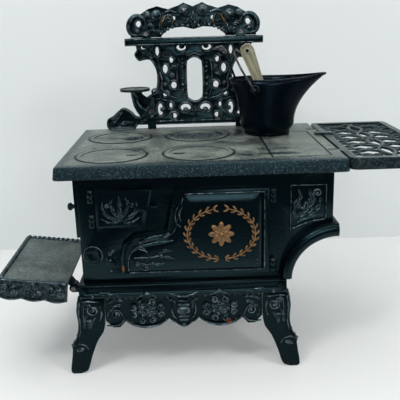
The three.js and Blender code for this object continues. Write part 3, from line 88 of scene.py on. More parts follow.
def camera_axes(yaw, pitch, roll):
    """Columns right, forward and up: a turn about z, then about x, then about y."""
    sin, cos = np.sin, np.cos
    turn = np.array([[cos(yaw), -sin(yaw), 0], [sin(yaw), cos(yaw), 0], [0, 0, 1]])
    nod = np.array([[1, 0, 0], [0, cos(pitch), sin(pitch)], [0, -sin(pitch), cos(pitch)]])
    lean = np.array([[cos(roll), 0, sin(roll)], [0, 1, 0], [-sin(roll), 0, cos(roll)]])
    return turn @ nod @ lean


axes = camera_axes(CAMERA_YAW, CAMERA_PITCH, CAMERA_ROLL)
camera_data = bpy.data.cameras.new("bench_camera")
camera_data.sensor_width = SENSOR_WIDTH
camera_data.lens = FOCAL_PIXELS / FRAME_PIXELS * SENSOR_WIDTH
camera_data.clip_start = 0.01
camera = bpy.data.objects.new("bench_camera", camera_data)
columns = np.stack([axes[:, 0], axes[:, 2], -axes[:, 1]], axis=1)
camera.matrix_world = Matrix.Translation(Vector(placed(CAMERA_PLACE))) @ Matrix(columns).to_4x4()
bpy.context.scene.collection.objects.link(camera)
bpy.context.scene.camera = camera
print("lens", round(camera_data.lens, 2), "mm at", placed(CAMERA_PLACE).round(4))

# %% [markdown]
# ## Node tools
# Every finish below is a Principled BSDF fed by colours, masks and bumps. These few
# helpers make nodes and links short to write. Clicking the nodes together by hand would
# give the same, but written out a finish reads as a recipe.

# %% Short ways to make nodes
def add_node(tree, kind, **inputs):
    """A node of that kind, with its unlinked inputs set by name (underscores for spaces)."""
    node = tree.nodes.new(kind)
    for name, value in inputs.items():
        node.inputs[name.replace("_", " ")].default_value = value
    return node


def link(tree, source, target):
    """Joins an output socket to an input socket."""
    tree.links.new(source, target)


def feed(tree, slot, value):
    """Links a socket into slot, or sets slot to a number or an RGB colour."""
    if isinstance(value, bpy.types.NodeSocket):
        link(tree, value, slot)
    elif isinstance(value, tuple):
        slot.default_value = (*value, 1)
    else:
        slot.default_value = value


def start_group(name, numbers, outputs):
    """An empty node group with named number inputs and named number outputs."""
    tree = bpy.data.node_groups.new(name, "ShaderNodeTree")
    for socket, value in numbers.items():
        made = tree.interface.new_socket(socket, in_out="INPUT", socket_type="NodeSocketFloat")
        made.default_value = value
    for socket in outputs:
        tree.interface.new_socket(socket, in_out="OUTPUT", socket_type="NodeSocketFloat")
    return tree, tree.nodes.new("NodeGroupInput"), tree.nodes.new("NodeGroupOutput")


print("node helpers ready")

# %% [markdown]
# ## Sums, mixes and noise
# A mask is a number from 0 to 1 at each point, and it is built from small sums: a smooth
# ramp, plus, minus and times, a distance, and a noise. All of them read Object coordinates
# and not the picture's or the world's, so a mask stays on its piece when the piece moves.

# %% Sums, mixes and noise
MIX_INPUTS, MIX_RESULT = (0, 6, 7), 2


def ramp(tree, source, low, high, top=1.0):
    """0 up to low, top from high, and a smooth rise between them."""
    node = add_node(tree, "ShaderNodeMapRange")
    node.interpolation_type = "SMOOTHSTEP"
    node.inputs["From Min"].default_value = low
    node.inputs["From Max"].default_value = high
    node.inputs["To Max"].default_value = top
    link(tree, source, node.inputs["Value"])
    return node.outputs["Result"]


def math_node(tree, operation, first, second):
    """first (operation) second; each is a socket or a number."""
    node = tree.nodes.new("ShaderNodeMath")
    node.operation = operation
    feed(tree, node.inputs[0], first)
    feed(tree, node.inputs[1], second)
    return node.outputs[0]


def vector_math(tree, operation, first, second=None):
    """A vector socket (operation) a plain triple, or the length of a vector socket."""
    node = tree.nodes.new("ShaderNodeVectorMath")
    node.operation = operation
    link(tree, first, node.inputs[0])
    if second is not None:
        node.inputs[1].default_value = second
    return node.outputs["Value" if operation == "LENGTH" else "Vector"]


def mix_colour(tree, factor, first, second):
    """Colour mix: first where factor is 0, second where it is 1."""
    node = tree.nodes.new("ShaderNodeMix")
    node.data_type = "RGBA"
    for number, value in zip(MIX_INPUTS, (factor, first, second)):
        feed(tree, node.inputs[number], value)
    return node.outputs[MIX_RESULT]


def object_place(tree):
    """Object coordinates: they stay with the piece when it moves."""
    return tree.nodes.new("ShaderNodeTexCoord").outputs["Object"]


def noise(tree, scale, detail=4.0, roughness=0.5):
    """Noise on Object coordinates; scale is a number or a socket."""
    node = add_node(tree, "ShaderNodeTexNoise", Detail=detail, Roughness=roughness)
    feed(tree, node.inputs["Scale"], scale)
    link(tree, object_place(tree), node.inputs["Vector"])
    return node.outputs["Fac"]


print("sums ready")

# %% [markdown]
# ## Cast grain
# Iron poured in sand keeps the sand's skin: fine pits, and slow waves where the mould
# sagged. It could be real geometry, but at half a tenth of a millimetre a bump is enough.
# The group adds two noises of different size and gives one height for a Bump node.

# %% Group: sand-cast grain
def build_grain():
    """Height = 0.6·fine noise + 0.4·coarse noise; Mask is the coarse noise alone."""
    tree, start, end = start_group("cast_grain", {"Fine Scale": 1500.0, "Coarse Scale": 260.0},
                                   ("Height", "Mask"))
    fine = noise(tree, start.outputs["Fine Scale"], 3.0)
    coarse = noise(tree, start.outputs["Coarse Scale"], 5.0)
    both = math_node(tree, "ADD", math_node(tree, "MULTIPLY", fine, 0.6),
                     math_node(tree, "MULTIPLY", coarse, 0.4))
    link(tree, both, end.inputs["Height"])
    link(tree, coarse, end.inputs["Mask"])
    return tree


GRAIN = build_grain()
print("group", GRAIN.name, "with", len(GRAIN.nodes), "nodes")

# %% [markdown]
# ## Dust, wear and painted highlights
# Dust falls on what faces up. Polish wears where a casting stands out, and hands and
# cloths reach it. Dust can be read from the surface's normal, and wear from how sharply
# the surface bends, which Blender calls pointiness. Both are broken up by noise. On the
# relief both also paint light: its up-facing sides and high spots are made lighter, as
# painted sheen and painted highlights.

# %% Groups: dust with painted sheen, wear with painted highlights
def build_dust_and_sheen():
    """Mask = Amount · smoothstep(upward part of the normal from 0.55 to 0.98) · patchy noise; dust, and on
    the relief also a painted sheen.
    """
    tree, start, end = start_group("dust_and_top_sheen", {"Amount": 1.0, "Patch Scale": 40.0}, ("Mask",))
    shape = tree.nodes.new("ShaderNodeNewGeometry")
    split = tree.nodes.new("ShaderNodeSeparateXYZ")
    link(tree, shape.outputs["Normal"], split.inputs[0])
    facing = ramp(tree, split.outputs["Z"], 0.55, 0.98)
    patch = ramp(tree, noise(tree, start.outputs["Patch Scale"], 6.0, 0.65), 0.25, 0.7)
    both = math_node(tree, "MULTIPLY", facing, patch)
    link(tree, math_node(tree, "MULTIPLY", both, start.outputs["Amount"]), end.inputs["Mask"])
    return tree


def build_wear_and_highlight():
    """Mask = Amount · smoothstep(pointiness from 0.52 to 0.572) · noise, for rubbed high spots and painted
    highlights on them.
    """
    tree, start, end = start_group("wear_and_highlight", {"Amount": 1.0, "Break Scale": 220.0}, ("Mask",))
    shape = tree.nodes.new("ShaderNodeNewGeometry")
    sharp = ramp(tree, shape.outputs["Pointiness"], 0.52, 0.572)
    broken = ramp(tree, noise(tree, start.outputs["Break Scale"]), 0.38, 0.62)
    both = math_node(tree, "MULTIPLY", sharp, broken)
    link(tree, math_node(tree, "MULTIPLY", both, start.outputs["Amount"]), end.inputs["Mask"])
    return tree


DUST_AND_SHEEN, WEAR_AND_HIGHLIGHT = build_dust_and_sheen(), build_wear_and_highlight()
print("groups", DUST_AND_SHEEN.name, WEAR_AND_HIGHLIGHT.name)

# %% [markdown]
# ## Masks about a place
# The dust is cleared in a few places on the cooktop: worn patches, darker places by the
# lids, strips along the front and left edges, and a spot behind the scuttle, which is
# painted shadow of the scuttle. Rust stains two spots, and soot gathers in the gaps round
# the lids and the cover. Such marks could be painted pictures, but worked out from the
# place on the stove they stay sharp from near.

# %% Masks about a place on the stove
def use_group(tree, group, **inputs):
    """Places a node group with its own input values."""
    node = tree.nodes.new("ShaderNodeGroup")
    node.node_tree = group
    for name, value in inputs.items():
        node.inputs[name.replace("_", " ")].default_value = value
    return node


def off_centre(tree, centre):
    """The Object place less a place on the stove, in metres."""
    return vector_math(tree, "SUBTRACT", object_place(tree), tuple(placed(centre)))


def spot(tree, centre, reach):
    """1 − smoothstep from 0.95 to 1.5 of (distance as a share of reach + 0.9·noise)."""
    shares = vector_math(tree, "DIVIDE", off_centre(tree, centre), tuple(MM * r for r in reach))
    ragged = math_node(tree, "MULTIPLY", noise(tree, 230.0, 4.0, 0.6), 0.9)
    edge = math_node(tree, "ADD", vector_math(tree, "LENGTH", shares), ragged)
    return math_node(tree, "SUBTRACT", 1.0, ramp(tree, edge, 0.95, 1.5))


def sooty_line(tree, distance, half):
    """1 up to 0.3·half millimetres from where the distance is 0, and 0 from half millimetres away."""
    away = math_node(tree, "ABSOLUTE", distance, 0.0)
    return math_node(tree, "SUBTRACT", 1.0, ramp(tree, away, 0.3 * half * MM, half * MM))


def round_seam(tree, centre, radius, half):
    """A sooty ring round a lid: signed distance = distance from the centre − radius."""
    distance = vector_math(tree, "LENGTH", off_centre(tree, centre))
    return sooty_line(tree, math_node(tree, "SUBTRACT", distance, radius * MM), half)


def square_seam(tree, centre, half_size, half):
    """A sooty line round a cover: distance = the larger of |x| − half width and |y| − half depth."""
    split = tree.nodes.new("ShaderNodeSeparateXYZ")
    link(tree, off_centre(tree, centre), split.inputs[0])
    sides = [math_node(tree, "SUBTRACT", math_node(tree, "ABSOLUTE", split.outputs[axis], 0.0), size * MM)
             for axis, size in zip("XY", half_size)]
    return sooty_line(tree, math_node(tree, "MAXIMUM", *sides), half)


print("masks ready: spots, rings and squares")

# %% [markdown]
# ## Iron finishes
# One recipe makes every iron finish here: a base colour in slow patches, a lighter colour
# where the iron is rubbed, partly a painted highlight, a dust colour on what faces up,
# partly a painted sheen on the relief, pebbles painted in light and shade, rust in a few
# freckles, and a bump from the grain. Places cleared of dust, one of them a painted shadow,
# sooty seams and rust stains come on top. Each finish could have a tree of its own, but
# one recipe keeps all the iron alike.

# %% One recipe for iron
FRECKLE_RUST, STAIN_RUST, SEAM_SOOT = (0.09, 0.045, 0.02), (0.16, 0.055, 0.018), (0.002, 0.004, 0.005)
BUMP_DEPTH, DUST_ROUGHNESS, ROUGH_SPREAD = 0.0006, 0.3, 0.12


def iron(name, base, mottle, rubbed, dust_and_sheen_colour, rough, dust_and_sheen_amount, wear_and_highlight_amount=0.8, rust=0.0, bump=0.25,
         metallic=0.0, fine=1500.0, coarse=260.0, specular=0.5, tint=(1.0, 1.0, 1.0), cleared_or_shaded=(), rusted=(),
         pebble_light_and_shade=0.0, lids=(), covers=(), polished=0.0):
    """Iron under a skin: base and mottle in patches, then rubbed colour partly as painted highlight, dust
    partly as painted sheen, pebbles painted in light and shade, seam and rust colours.
    """
    material = bpy.data.materials.new(name)
    material.use_nodes = True
    tree = material.node_tree
    shader = tree.nodes["Principled BSDF"]
    grain = use_group(tree, GRAIN, Fine_Scale=fine, Coarse_Scale=coarse)
    patches = noise(tree, 18.0, 5.0, 0.6)
    mottled = mix_colour(tree, ramp(tree, patches, 0.3, 0.7), base, mottle)
    # The rubbed colour on high spots: partly wear, partly a painted highlight.
    worn_or_lit = use_group(tree, WEAR_AND_HIGHLIGHT, Amount=wear_and_highlight_amount).outputs["Mask"]
    colour = mix_colour(tree, worn_or_lit, mottled, rubbed)
    # Dust on what faces up; on the relief it is also a painted sheen on the up-facing sides.
    dust_and_sheen_mask = use_group(tree, DUST_AND_SHEEN, Amount=dust_and_sheen_amount).outputs["Mask"]
    # Cleared spots take the dust away; one of them is painted shadow.
    for centre, reach in cleared_or_shaded:
        dust_kept = math_node(tree, "SUBTRACT", 1.0, spot(tree, centre, reach))
        dust_and_sheen_mask = math_node(tree, "MULTIPLY", dust_and_sheen_mask, dust_kept)
    colour = mix_colour(tree, dust_and_sheen_mask, colour, dust_and_sheen_colour)
    if rust:
        freckle = ramp(tree, noise(tree, 95.0, 6.0, 0.7), 0.68 - 0.1 * rust, 0.78)
        colour = mix_colour(tree, math_node(tree, "MULTIPLY", freckle, 0.7), colour, FRECKLE_RUST)
    # Pebbles: the pits are painted darker as shade, and the peaks take the lighter rubbed colour as painted
    # highlights.
    if pebble_light_and_shade:
        pit_shade = math_node(tree, "SUBTRACT", pebble_light_and_shade, ramp(tree, grain.outputs["Mask"], 0.36, 0.52, pebble_light_and_shade))
        peak_highlight = ramp(tree, grain.outputs["Mask"], 0.5, 0.7, 0.6 * pebble_light_and_shade)
        colour = mix_colour(tree, pit_shade, colour, base)
        colour = mix_colour(tree, peak_highlight, colour, rubbed)
        worn_or_lit = peak_highlight
    for seam in [round_seam(tree, *lid) for lid in lids] + [square_seam(tree, *cover) for cover in covers]:
        colour = mix_colour(tree, math_node(tree, "MULTIPLY", seam, 0.85), colour, SEAM_SOOT)
    for centre, reach in rusted:
        colour = mix_colour(tree, spot(tree, centre, reach), colour, STAIN_RUST)
    link(tree, colour, shader.inputs["Base Color"])
    spread = math_node(tree, "MULTIPLY_ADD", grain.outputs["Mask"], ROUGH_SPREAD)
    spread.node.inputs[2].default_value = rough - ROUGH_SPREAD / 2
    dusty = math_node(tree, "MULTIPLY", dust_and_sheen_mask, DUST_ROUGHNESS)
    link(tree, math_node(tree, "ADD", spread, dusty), shader.inputs["Roughness"])
    raised = add_node(tree, "ShaderNodeBump", Strength=bump, Distance=BUMP_DEPTH)
    link(tree, grain.outputs["Height"], raised.inputs["Height"])
    link(tree, raised.outputs["Normal"], shader.inputs["Normal"])
    if polished:
        link(tree, math_node(tree, "MULTIPLY", worn_or_lit, polished), shader.inputs["Metallic"])
    else:
        shader.inputs["Metallic"].default_value = metallic
    shader.inputs["Specular IOR Level"].default_value = specular
    shader.inputs["Specular Tint"].default_value = (*tint, 1)
    return material


print("recipe ready; a seam is drawn in", SEAM_SOOT, "and rust in", FRECKLE_RUST)

# %% [markdown]
# ## The finishes of this stove
# Black japan is a baked varnish, nearly black, with a blue green shine, and the relief on
# it is rubbed bright, which is partly wear and partly painted highlight. The cooktop has
# lost its varnish to the heat. It has a pebbled skin, drawn from the grain's own peaks and
# pits as painted light and shade: darker pits, lighter peaks. It also has grey dust. Each
# finish is the same recipe with other colours (base, patches, rubbed, dust) and other
# strengths of the masks.

# %% The finishes
BLUE_GREEN = (0.42, 0.86, 1.0)
# Places where the cooktop's dust is cleared: worn patches, darker places by the lids, a painted shadow of the
# scuttle at (32, 128), and the last two keep strips along the front and left edges bare.
CLEARED_AND_SHADED_SPOTS = [((67, 28, 182), (20, 7, 6)), ((36, 26, 182), (9, 5, 6)), ((-60, 111, 182), (13, 12, 6)),
           ((-56, 39, 182), (7, 3, 6)), ((-18, 41, 182), (8, 4, 6)), ((-2, 118, 182), (30, 22, 6)),
           ((32, 128, 182), (22, 22, 6)), ((-92, 70, 182), (3.5, 5, 6)), ((10, -2, 182), (420, 15, 16)),
           ((-115, 84, 182), (10, 260, 16))]
RUST_SPOTS = [((19.5, 5, 44.5), (3.6, 4, 2.6)), ((-66, 5.3, 95), (1.3, 3, 4))]
LID_SEAMS = [((x, y, 182), 29.9, 2.1) for x in (-74, -1.3) for y in (40.1, 119.3)]
COVER_SEAMS = [((80.8, 68.5, 182), (23.6, 53.6), 1.7)]
JAPAN = iron("black_japan", (0.0006, 0.0021, 0.003), (0.0013, 0.0037, 0.005), (0.04, 0.062, 0.07),
             (0.01, 0.017, 0.018), 0.12, dust_and_sheen_amount=0.3, wear_and_highlight_amount=0.0, rust=0.2, bump=0.28,
             coarse=420.0, specular=0.27, tint=BLUE_GREEN, rusted=RUST_SPOTS)
# A darker copy of the japan for the base and legs: painted shade near the floor.
SHADED_JAPAN = iron("shaded_japan", (0.0005, 0.0017, 0.0024), (0.0011, 0.003, 0.004), (0.04, 0.062, 0.07),
                 (0.01, 0.017, 0.018), 0.14, dust_and_sheen_amount=0.3, wear_and_highlight_amount=0.0, rust=0.2, bump=0.3,
                 coarse=420.0, specular=0.17, tint=BLUE_GREEN, rusted=RUST_SPOTS)
# Relief: the light rubbed colour on its high spots, made metallic there, and the dust on its up-facing sides
# are partly painted highlights.
RELIEF = iron("japanned_relief", (0.0006, 0.0021, 0.003), (0.0013, 0.0037, 0.005), (0.17, 0.21, 0.228),
              (0.014, 0.023, 0.026), 0.14, dust_and_sheen_amount=0.5, wear_and_highlight_amount=0.9, polished=0.9, rust=0.2,
              bump=0.25, specular=0.5, tint=BLUE_GREEN, rusted=RUST_SPOTS)
# The cooktop's pebbles are painted in light and shade: dark pits, light peaks.
COOKTOP = iron("cooked_cooktop", (0.003, 0.0075, 0.01), (0.007, 0.015, 0.019), (0.11, 0.155, 0.18),
               (0.29, 0.315, 0.262), 0.26, dust_and_sheen_amount=1.0, wear_and_highlight_amount=0.0, rust=0.2, bump=1.0,
               fine=2000.0, coarse=760.0, specular=0.35, tint=BLUE_GREEN, cleared_or_shaded=CLEARED_AND_SHADED_SPOTS, pebble_light_and_shade=0.75,
               polished=0.5, lids=LID_SEAMS, covers=COVER_SEAMS)
# The shelves' pebbles are painted in light and shade too.
HEARTH = iron("dusty_shelf_iron", (0.0014, 0.0036, 0.0045), (0.003, 0.006, 0.0072), (0.12, 0.15, 0.16),
              (0.17, 0.2, 0.19), 0.3, dust_and_sheen_amount=1.0, wear_and_highlight_amount=0.3, rust=0.2, bump=0.9, coarse=520.0,
              specular=0.24, tint=BLUE_GREEN, pebble_light_and_shade=0.5, polished=0.4)
SOOT = iron("sooty_iron", (0.006, 0.006, 0.006), (0.012, 0.011, 0.01), (0.03, 0.03, 0.03),
            (0.05, 0.045, 0.04), 0.75, dust_and_sheen_amount=0.5, wear_and_highlight_amount=0.3, rust=0.8)
TIN = iron("black_tin", (0.0004, 0.0017, 0.0028), (0.0008, 0.0026, 0.004), (0.05, 0.06, 0.065),
           (0.02, 0.022, 0.025), 0.24, dust_and_sheen_amount=0.1, wear_and_highlight_amount=0.15, bump=0.05, specular=0.2,
           tint=(0.4, 0.65, 1.0))
LIFTER = iron("grey_cast_leaf", (0.03, 0.034, 0.036), (0.05, 0.055, 0.056), (0.14, 0.15, 0.15),
              (0.06, 0.06, 0.06), 0.42, dust_and_sheen_amount=0.2, bump=0.3)
WIRE = iron("dark_wire", (0.03, 0.03, 0.031), (0.05, 0.048, 0.046), (0.2, 0.2, 0.2),
            (0.1, 0.1, 0.1), 0.38, dust_and_sheen_amount=0.1, bump=0.08, metallic=0.7)
BRASS = iron("pale_brass", (0.36, 0.35, 0.24), (0.2, 0.19, 0.12), (0.55, 0.54, 0.42),
             (0.36, 0.35, 0.28), 0.45, dust_and_sheen_amount=0.3, rust=0.6, bump=0.3, metallic=0.25)
BRONZE = iron("worn_bronze", (0.27, 0.14, 0.05), (0.12, 0.06, 0.024), (0.4, 0.25, 0.11),
              (0.12, 0.09, 0.06), 0.42, dust_and_sheen_amount=0.3, bump=0.3, metallic=0.35)
print("finishes", [m.name for m in bpy.data.materials])

# %% [markdown]
# ## Softening the measured castings
# No casting has a knife edge: the sand rounds it. The frame's nodes are sharp, so each is
# copied, its doubled corners merged, its edges bevelled a little, and shaded smooth. A
# bevel in the shader would be lighter, but it leaves the outline sharp. The copy stands in
# for the node, and the node itself stays as it was measured.

# %% Rounded copies of the CAD nodes
BODY_OF = {node: body for body, nodes in frame["record"]["behaviour"]["bodies"].items() for node in nodes}
MERGE, FLAT_ANGLE, SHARP_ANGLE, BEVEL_STEPS = 2e-5, np.radians(0.5), np.radians(32), 2


def rounded_copy(node, material, edge):
    """A merged copy of the node with its edges bevelled by edge millimetres."""
    source = frame["nodes"][node]
    mesh = source.data.copy()
    mesh.name = node + "_cast"
    shell = bmesh.new()
    shell.from_mesh(mesh)
    bmesh.ops.remove_doubles(shell, verts=shell.verts, dist=MERGE)
    bmesh.ops.dissolve_limit(shell, angle_limit=FLAT_ANGLE, verts=shell.verts, edges=shell.edges,
                             delimit={"NORMAL"})
    shell.to_mesh(mesh)
    shell.free()
    mesh.materials.clear()
    mesh.materials.append(material)
    mesh.shade_smooth()
    piece = bpy.data.objects.new(node + "_cast", mesh)
    bpy.context.scene.collection.objects.link(piece)
    if edge:
        bevel = piece.modifiers.new("soft_edge", "BEVEL")
        bevel.width = edge * MM
        bevel.segments = BEVEL_STEPS
        bevel.limit_method = "ANGLE"
        bevel.angle_limit = SHARP_ANGLE
        bevel.harden_normals = True
    else:
        mesh.set_sharp_from_angle(angle=SHARP_ANGLE)
    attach(piece, BODY_OF[node])
    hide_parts(node)
    return piece


print("an edge is sharp from", round(np.degrees(SHARP_ANGLE)), "degrees")

# %% [markdown]
# ## Which casting takes which finish
# Body and doors are black japan, the parts near the floor a darker and duller copy of it,
# which is painted shade, and the cooktop, its lids and the shelves are dusty. The number is
# the radius of the soft edge in millimetres, and a turned or drawn piece has none, because
# it is round already.

# %% A softened copy of every casting
CASTINGS = {
    "base_frame": (SHADED_JAPAN, 0.5), "front_plate": (JAPAN, 0.4), "back_plate": (JAPAN, 0.4),
    "left_plate": (JAPAN, 0.4), "right_plate": (JAPAN, 0.4), "reservoir_base": (JAPAN, 0.5),
    "reservoir_shell": (JAPAN, 0.4), "cooktop": (COOKTOP, 0.5), "reservoir_cover": (COOKTOP, 0.4),
    "lid_front_left": (COOKTOP, 0.3), "lid_rear_left": (COOKTOP, 0.3),
    "lid_front_right": (COOKTOP, 0.3), "lid_rear_right": (COOKTOP, 0.3),
    "fire_door": (JAPAN, 0.35), "oven_door": (JAPAN, 0.35), "side_door": (JAPAN, 0.35),
    "side_door_knob": (JAPAN, 0.0), "high_back": (JAPAN, 0.45), "crest": (JAPAN, 0.45),
    "warming_shelf": (JAPAN, 0.4), "teapot_shelf": (HEARTH, 0.3), "hearth_shelf": (HEARTH, 0.45),
    "end_shelf": (HEARTH, 0.45), "leg_front_left": (SHADED_JAPAN, 0.5), "leg_front_right": (SHADED_JAPAN, 0.5),
    "leg_rear_left": (SHADED_JAPAN, 0.5), "leg_rear_right": (SHADED_JAPAN, 0.5),
    "scuttle_bail": (WIRE, 0.0), "shovel": (BRASS, 0.25), "lid_lifter": (TIN, 0.25),
}
for node, (material, edge) in CASTINGS.items():
    rounded_copy(node, material, edge)
print("softened", len(CASTINGS), "castings")

# %% [markdown]
# ## The hidden iron
# The oven floor, the partition and the grate are seen only through open doors, and the
# rods, nuts, pins and rivets are small. Their shapes are right, so they stay as they are
# and only take a finish.

# %% Finishes for the nodes that stay
PLAIN = {"floor_plate": SOOT, "oven_partition": SOOT, "fire_grate": SOOT}
for name, node in frame["nodes"].items():
    if name in CASTINGS or name == "scuttle_bucket":
        continue
    finish = PLAIN.get(name, WIRE)
    for slot in node.material_slots:
        slot.material = finish
print("finished in place", sorted(set(frame["nodes"]) - set(CASTINGS) - {"scuttle_bucket"}))

# %% [markdown]
# ## Relief tools
# The pattern maker carved leaves, vines and bosses and pressed them into the sand. Each is
# a small closed surface whose underside lies just inside the plate. It is drawn flat first,
# as across, up and out from the plate, and a face function then lays it on its casting.
# That way the same leaf can decorate the front, a side, a leg or a shelf.

# %% Closed surfaces from rings
SUNK, BOLD = 0.3, 1.6


def outward(points, quads, triangles):
    """Turns all faces round if the signed volume (sum of a · b×c over triangles) is negative."""
    split = np.vstack([quads[:, [0, 1, 2]], quads[:, [0, 2, 3]], triangles])
    a, b, c = points[split].transpose(1, 0, 2) - points.mean(0)
    if np.einsum("ij,ij->i", a, np.cross(b, c)).sum() < 0:
        quads, triangles = quads[:, ::-1], triangles[:, ::-1]
    return points, quads, triangles


def skin(rings, closed=False):
    """Quads between neighbouring rings (stations, around, 3), and a fan to a middle point at each end."""
    stations, around = rings.shape[:2]
    j = np.arange(around)
    k = (j + 1) % around
    rows = np.arange(stations if closed else stations - 1)[:, None]
    here, there = rows * around, (rows + 1) % stations * around
    quads = np.stack([here + j, here + k, there + k, there + j], -1).reshape(-1, 4)
    points, triangles = rings.reshape(-1, 3), np.zeros((0, 3), int)
    if not closed:
        points = np.vstack([points, rings[0].mean(0), rings[-1].mean(0)])
        first, final, top = stations * around, stations * around + 1, (stations - 1) * around
        triangles = np.vstack([np.stack([k, j, np.full(around, first)], -1),
                               np.stack([top + j, top + k, np.full(around, final)], -1)])
    return outward(points, quads, triangles)


def spread(values, count):
    """The given values, evenly spaced and joined by straight lines, read at count places."""
    return np.interp(np.linspace(0, 1, count), np.linspace(0, 1, len(values)), values)


def smooth_path(points, count, closed=False):
    """Through every point: between two of them, the cubic whose slopes follow their outer neighbours."""
    points = np.asarray(points, float)
    if closed:
        padded = np.vstack([points[-1], points, points[:2]])
        place = np.linspace(0, len(points), count, endpoint=False)
    else:
        padded = np.vstack([2 * points[0] - points[1], points, 2 * points[-1] - points[-2]])
        place = np.linspace(0, len(points) - 1, count)
    span = np.minimum(place.astype(int), len(padded) - 4)
    f = (place - span)[:, None]
    a, b, c, d = (padded[span + i] for i in range(4))
    return 0.5 * (2 * b + (c - a) * f + (2 * a - 5 * b + 4 * c - d) * f**2 + (3 * b - a - 3 * c + d) * f**3)


print("relief lies", SUNK, "mm inside its plate and is carved", BOLD, "times as bold as drawn")

# %% [markdown]
# ## Vines and leaves
# A vine is a half-round bar that thickens and thins along a curve. A leaf is wider: its
# edge swells into lobes, a groove runs down its middle, and folds slope back from the
# groove to the lobes. Both could be curves with a bevel, but the lobes and folds need a
# section that changes, so the section is worked out along the path.

# %% Vines and leaves along a path
def section(line, half, height, across, rise, closed=False):
    """Rings over a path: across·half to the side, rise·height out, and an edge sunk in the plate."""
    step = np.roll(line, -1, 0) - np.roll(line, 1, 0) if closed else np.gradient(line, axis=0)
    side = np.stack([-step[:, 1], step[:, 0]], -1)
    side /= np.linalg.norm(side, axis=1)[:, None] + 1e-9
    flat = line[:, None] + side[:, None] * (half[:, None] * across)[..., None]
    top = np.concatenate([flat, (BOLD * height * rise)[..., None]], -1)
    under = top[:, [-1, 0]].copy()
    under[..., 2] = -SUNK
    return np.concatenate([top, under], 1)


def vine(path, widths, height, count, around=7, closed=False):
    """Half-round bar: out = height · sqrt(half width share) · sine of the angle across it."""
    line = smooth_path(path, count, closed)
    half = np.full(count, widths[0], float) if closed else spread(widths, count)
    turn = np.linspace(0, np.pi, around)
    rise = np.sqrt(half / half.max())[:, None] * np.sin(turn)
    return skin(section(line, half, height, np.cos(turn), rise, closed), closed)


def bar(start, end, half, height, count):
    """A straight vine of even width."""
    return vine([start, end], (half, half), height, count)


def leaf(spine, half_width, height=1.0, lobes=4, count=28, across=11):
    """Half width = half_width·sin(pi t^0.8)^0.7·(1 − 0.3|cos(pi lobes t)|); out = crown·folds − groove."""
    t = np.linspace(0.02, 0.98, count)
    s = np.linspace(1, -1, across)
    half = half_width * np.sin(np.pi * t**0.8) ** 0.7 * (1 - 0.3 * np.abs(np.cos(np.pi * lobes * t)))
    crown = np.sin(np.pi * t)[:, None] ** 0.5 * (1 - s**2) ** 0.5
    folds = 0.72 + 0.28 * np.cos(2 * np.pi * lobes * (t[:, None] - 0.3 * np.abs(s)))
    groove = 0.35 * np.exp(-((s / 0.18) ** 2)) * np.sin(np.pi * t)[:, None]
    return skin(section(smooth_path(spine, count), half, height, s, crown * folds - groove))


print("one leaf has", len(leaf([(0, 0), (0, 5)], 2)[1]), "quads")

# %% [markdown]
# ## Bosses and scrolls
# A boss is turned like a knob, and beads are small bosses in a row. A scroll is a vine
# wound into a spiral with a boss for its eye. Nearly all old stove ornament is built from
# vines, leaves, bosses and scrolls, and half of it is the other half mirrored.

# %% Bosses, beads, scrolls, and a mirror
def boss(centre, radius, height, profile=((1, 0), (0.95, 0.4), (0.75, 0.8), (0.4, 0.97)), around=14,
         squash=1.0, turn=0.0):
    """Turned knob: rings of radius share and height share about a centre, squashed and turned."""
    shares = np.array([(1, -SUNK / (BOLD * height)), *profile])
    angle = np.arange(around) / around * 2 * np.pi
    x, y = radius * np.cos(angle), radius * squash * np.sin(angle)
    circle = np.stack([x * np.cos(turn) - y * np.sin(turn), x * np.sin(turn) + y * np.cos(turn)], -1)
    flat = np.asarray(centre) + shares[:, :1, None] * circle
    out = np.broadcast_to((BOLD * height * shares[:, 1])[:, None, None], (*flat.shape[:2], 1))
    return skin(np.concatenate([flat, out], -1))


def beads(path, number, radius, height):
    """Small low domes set evenly along a path."""
    centres = smooth_path(path, number)
    return [boss(c, radius, height, ((0.8, 0.6), (0.35, 0.95)), around=8) for c in centres]


def spiral(centre, outer, inner, start, turns, count=18):
    """Radius falls evenly from outer to inner while the angle goes on by turns, from start."""
    share = np.linspace(0, 1, count)
    angle = 2 * np.pi * (start + turns * share)
    radius = outer + (inner - outer) * share
    return np.asarray(centre) + radius[:, None] * np.stack([np.cos(angle), np.sin(angle)], -1)


def scroll(centre, radius, start, turns, lead=(), width=0.9, height=1.0):
    """A vine that comes along lead, winds in round a centre and ends at a round eye."""
    curl = spiral(centre, radius, 0.38 * radius, start, turns)
    path = np.vstack([lead, curl]) if len(lead) else curl
    return [vine(path, (0.35 * width, width, width, 0.7 * width), height, count=30),
            boss(centre, 0.34 * radius, height * 1.1, around=10)]


def mirrored(shapes, centre):
    """The same shapes on the other side of an upright line, with their faces turned back out."""
    return [(points * (-1, 1, 1) + (2 * centre, 0, 0), quads[:, ::-1], triangles[:, ::-1])
            for points, quads, triangles in shapes]


print("one scroll has", sum(len(part[1]) for part in scroll((0, 0), 3, 0, 1)), "quads")

# %% [markdown]
# ## Laying relief on a casting
# A face function takes (across, up, out) to the stove's (x, y, z). Each keeps right-handed
# order, so faces that point out of the flat drawing still point out of the iron.

# %% Faces of the stove, and one object from many shapes
def on_front(y):
    """Across runs right, up runs up, out runs towards the viewer."""
    return lambda p: np.stack([p[:, 0], y - p[:, 2], p[:, 1]], -1)


def on_back(y):
    """Seen from behind: across runs left along x."""
    return lambda p: np.stack([-p[:, 0], y + p[:, 2], p[:, 1]], -1)


def on_left(x):
    """Seen from the left: across runs to the front, against y."""
    return lambda p: np.stack([x - p[:, 2], -p[:, 0], p[:, 1]], -1)


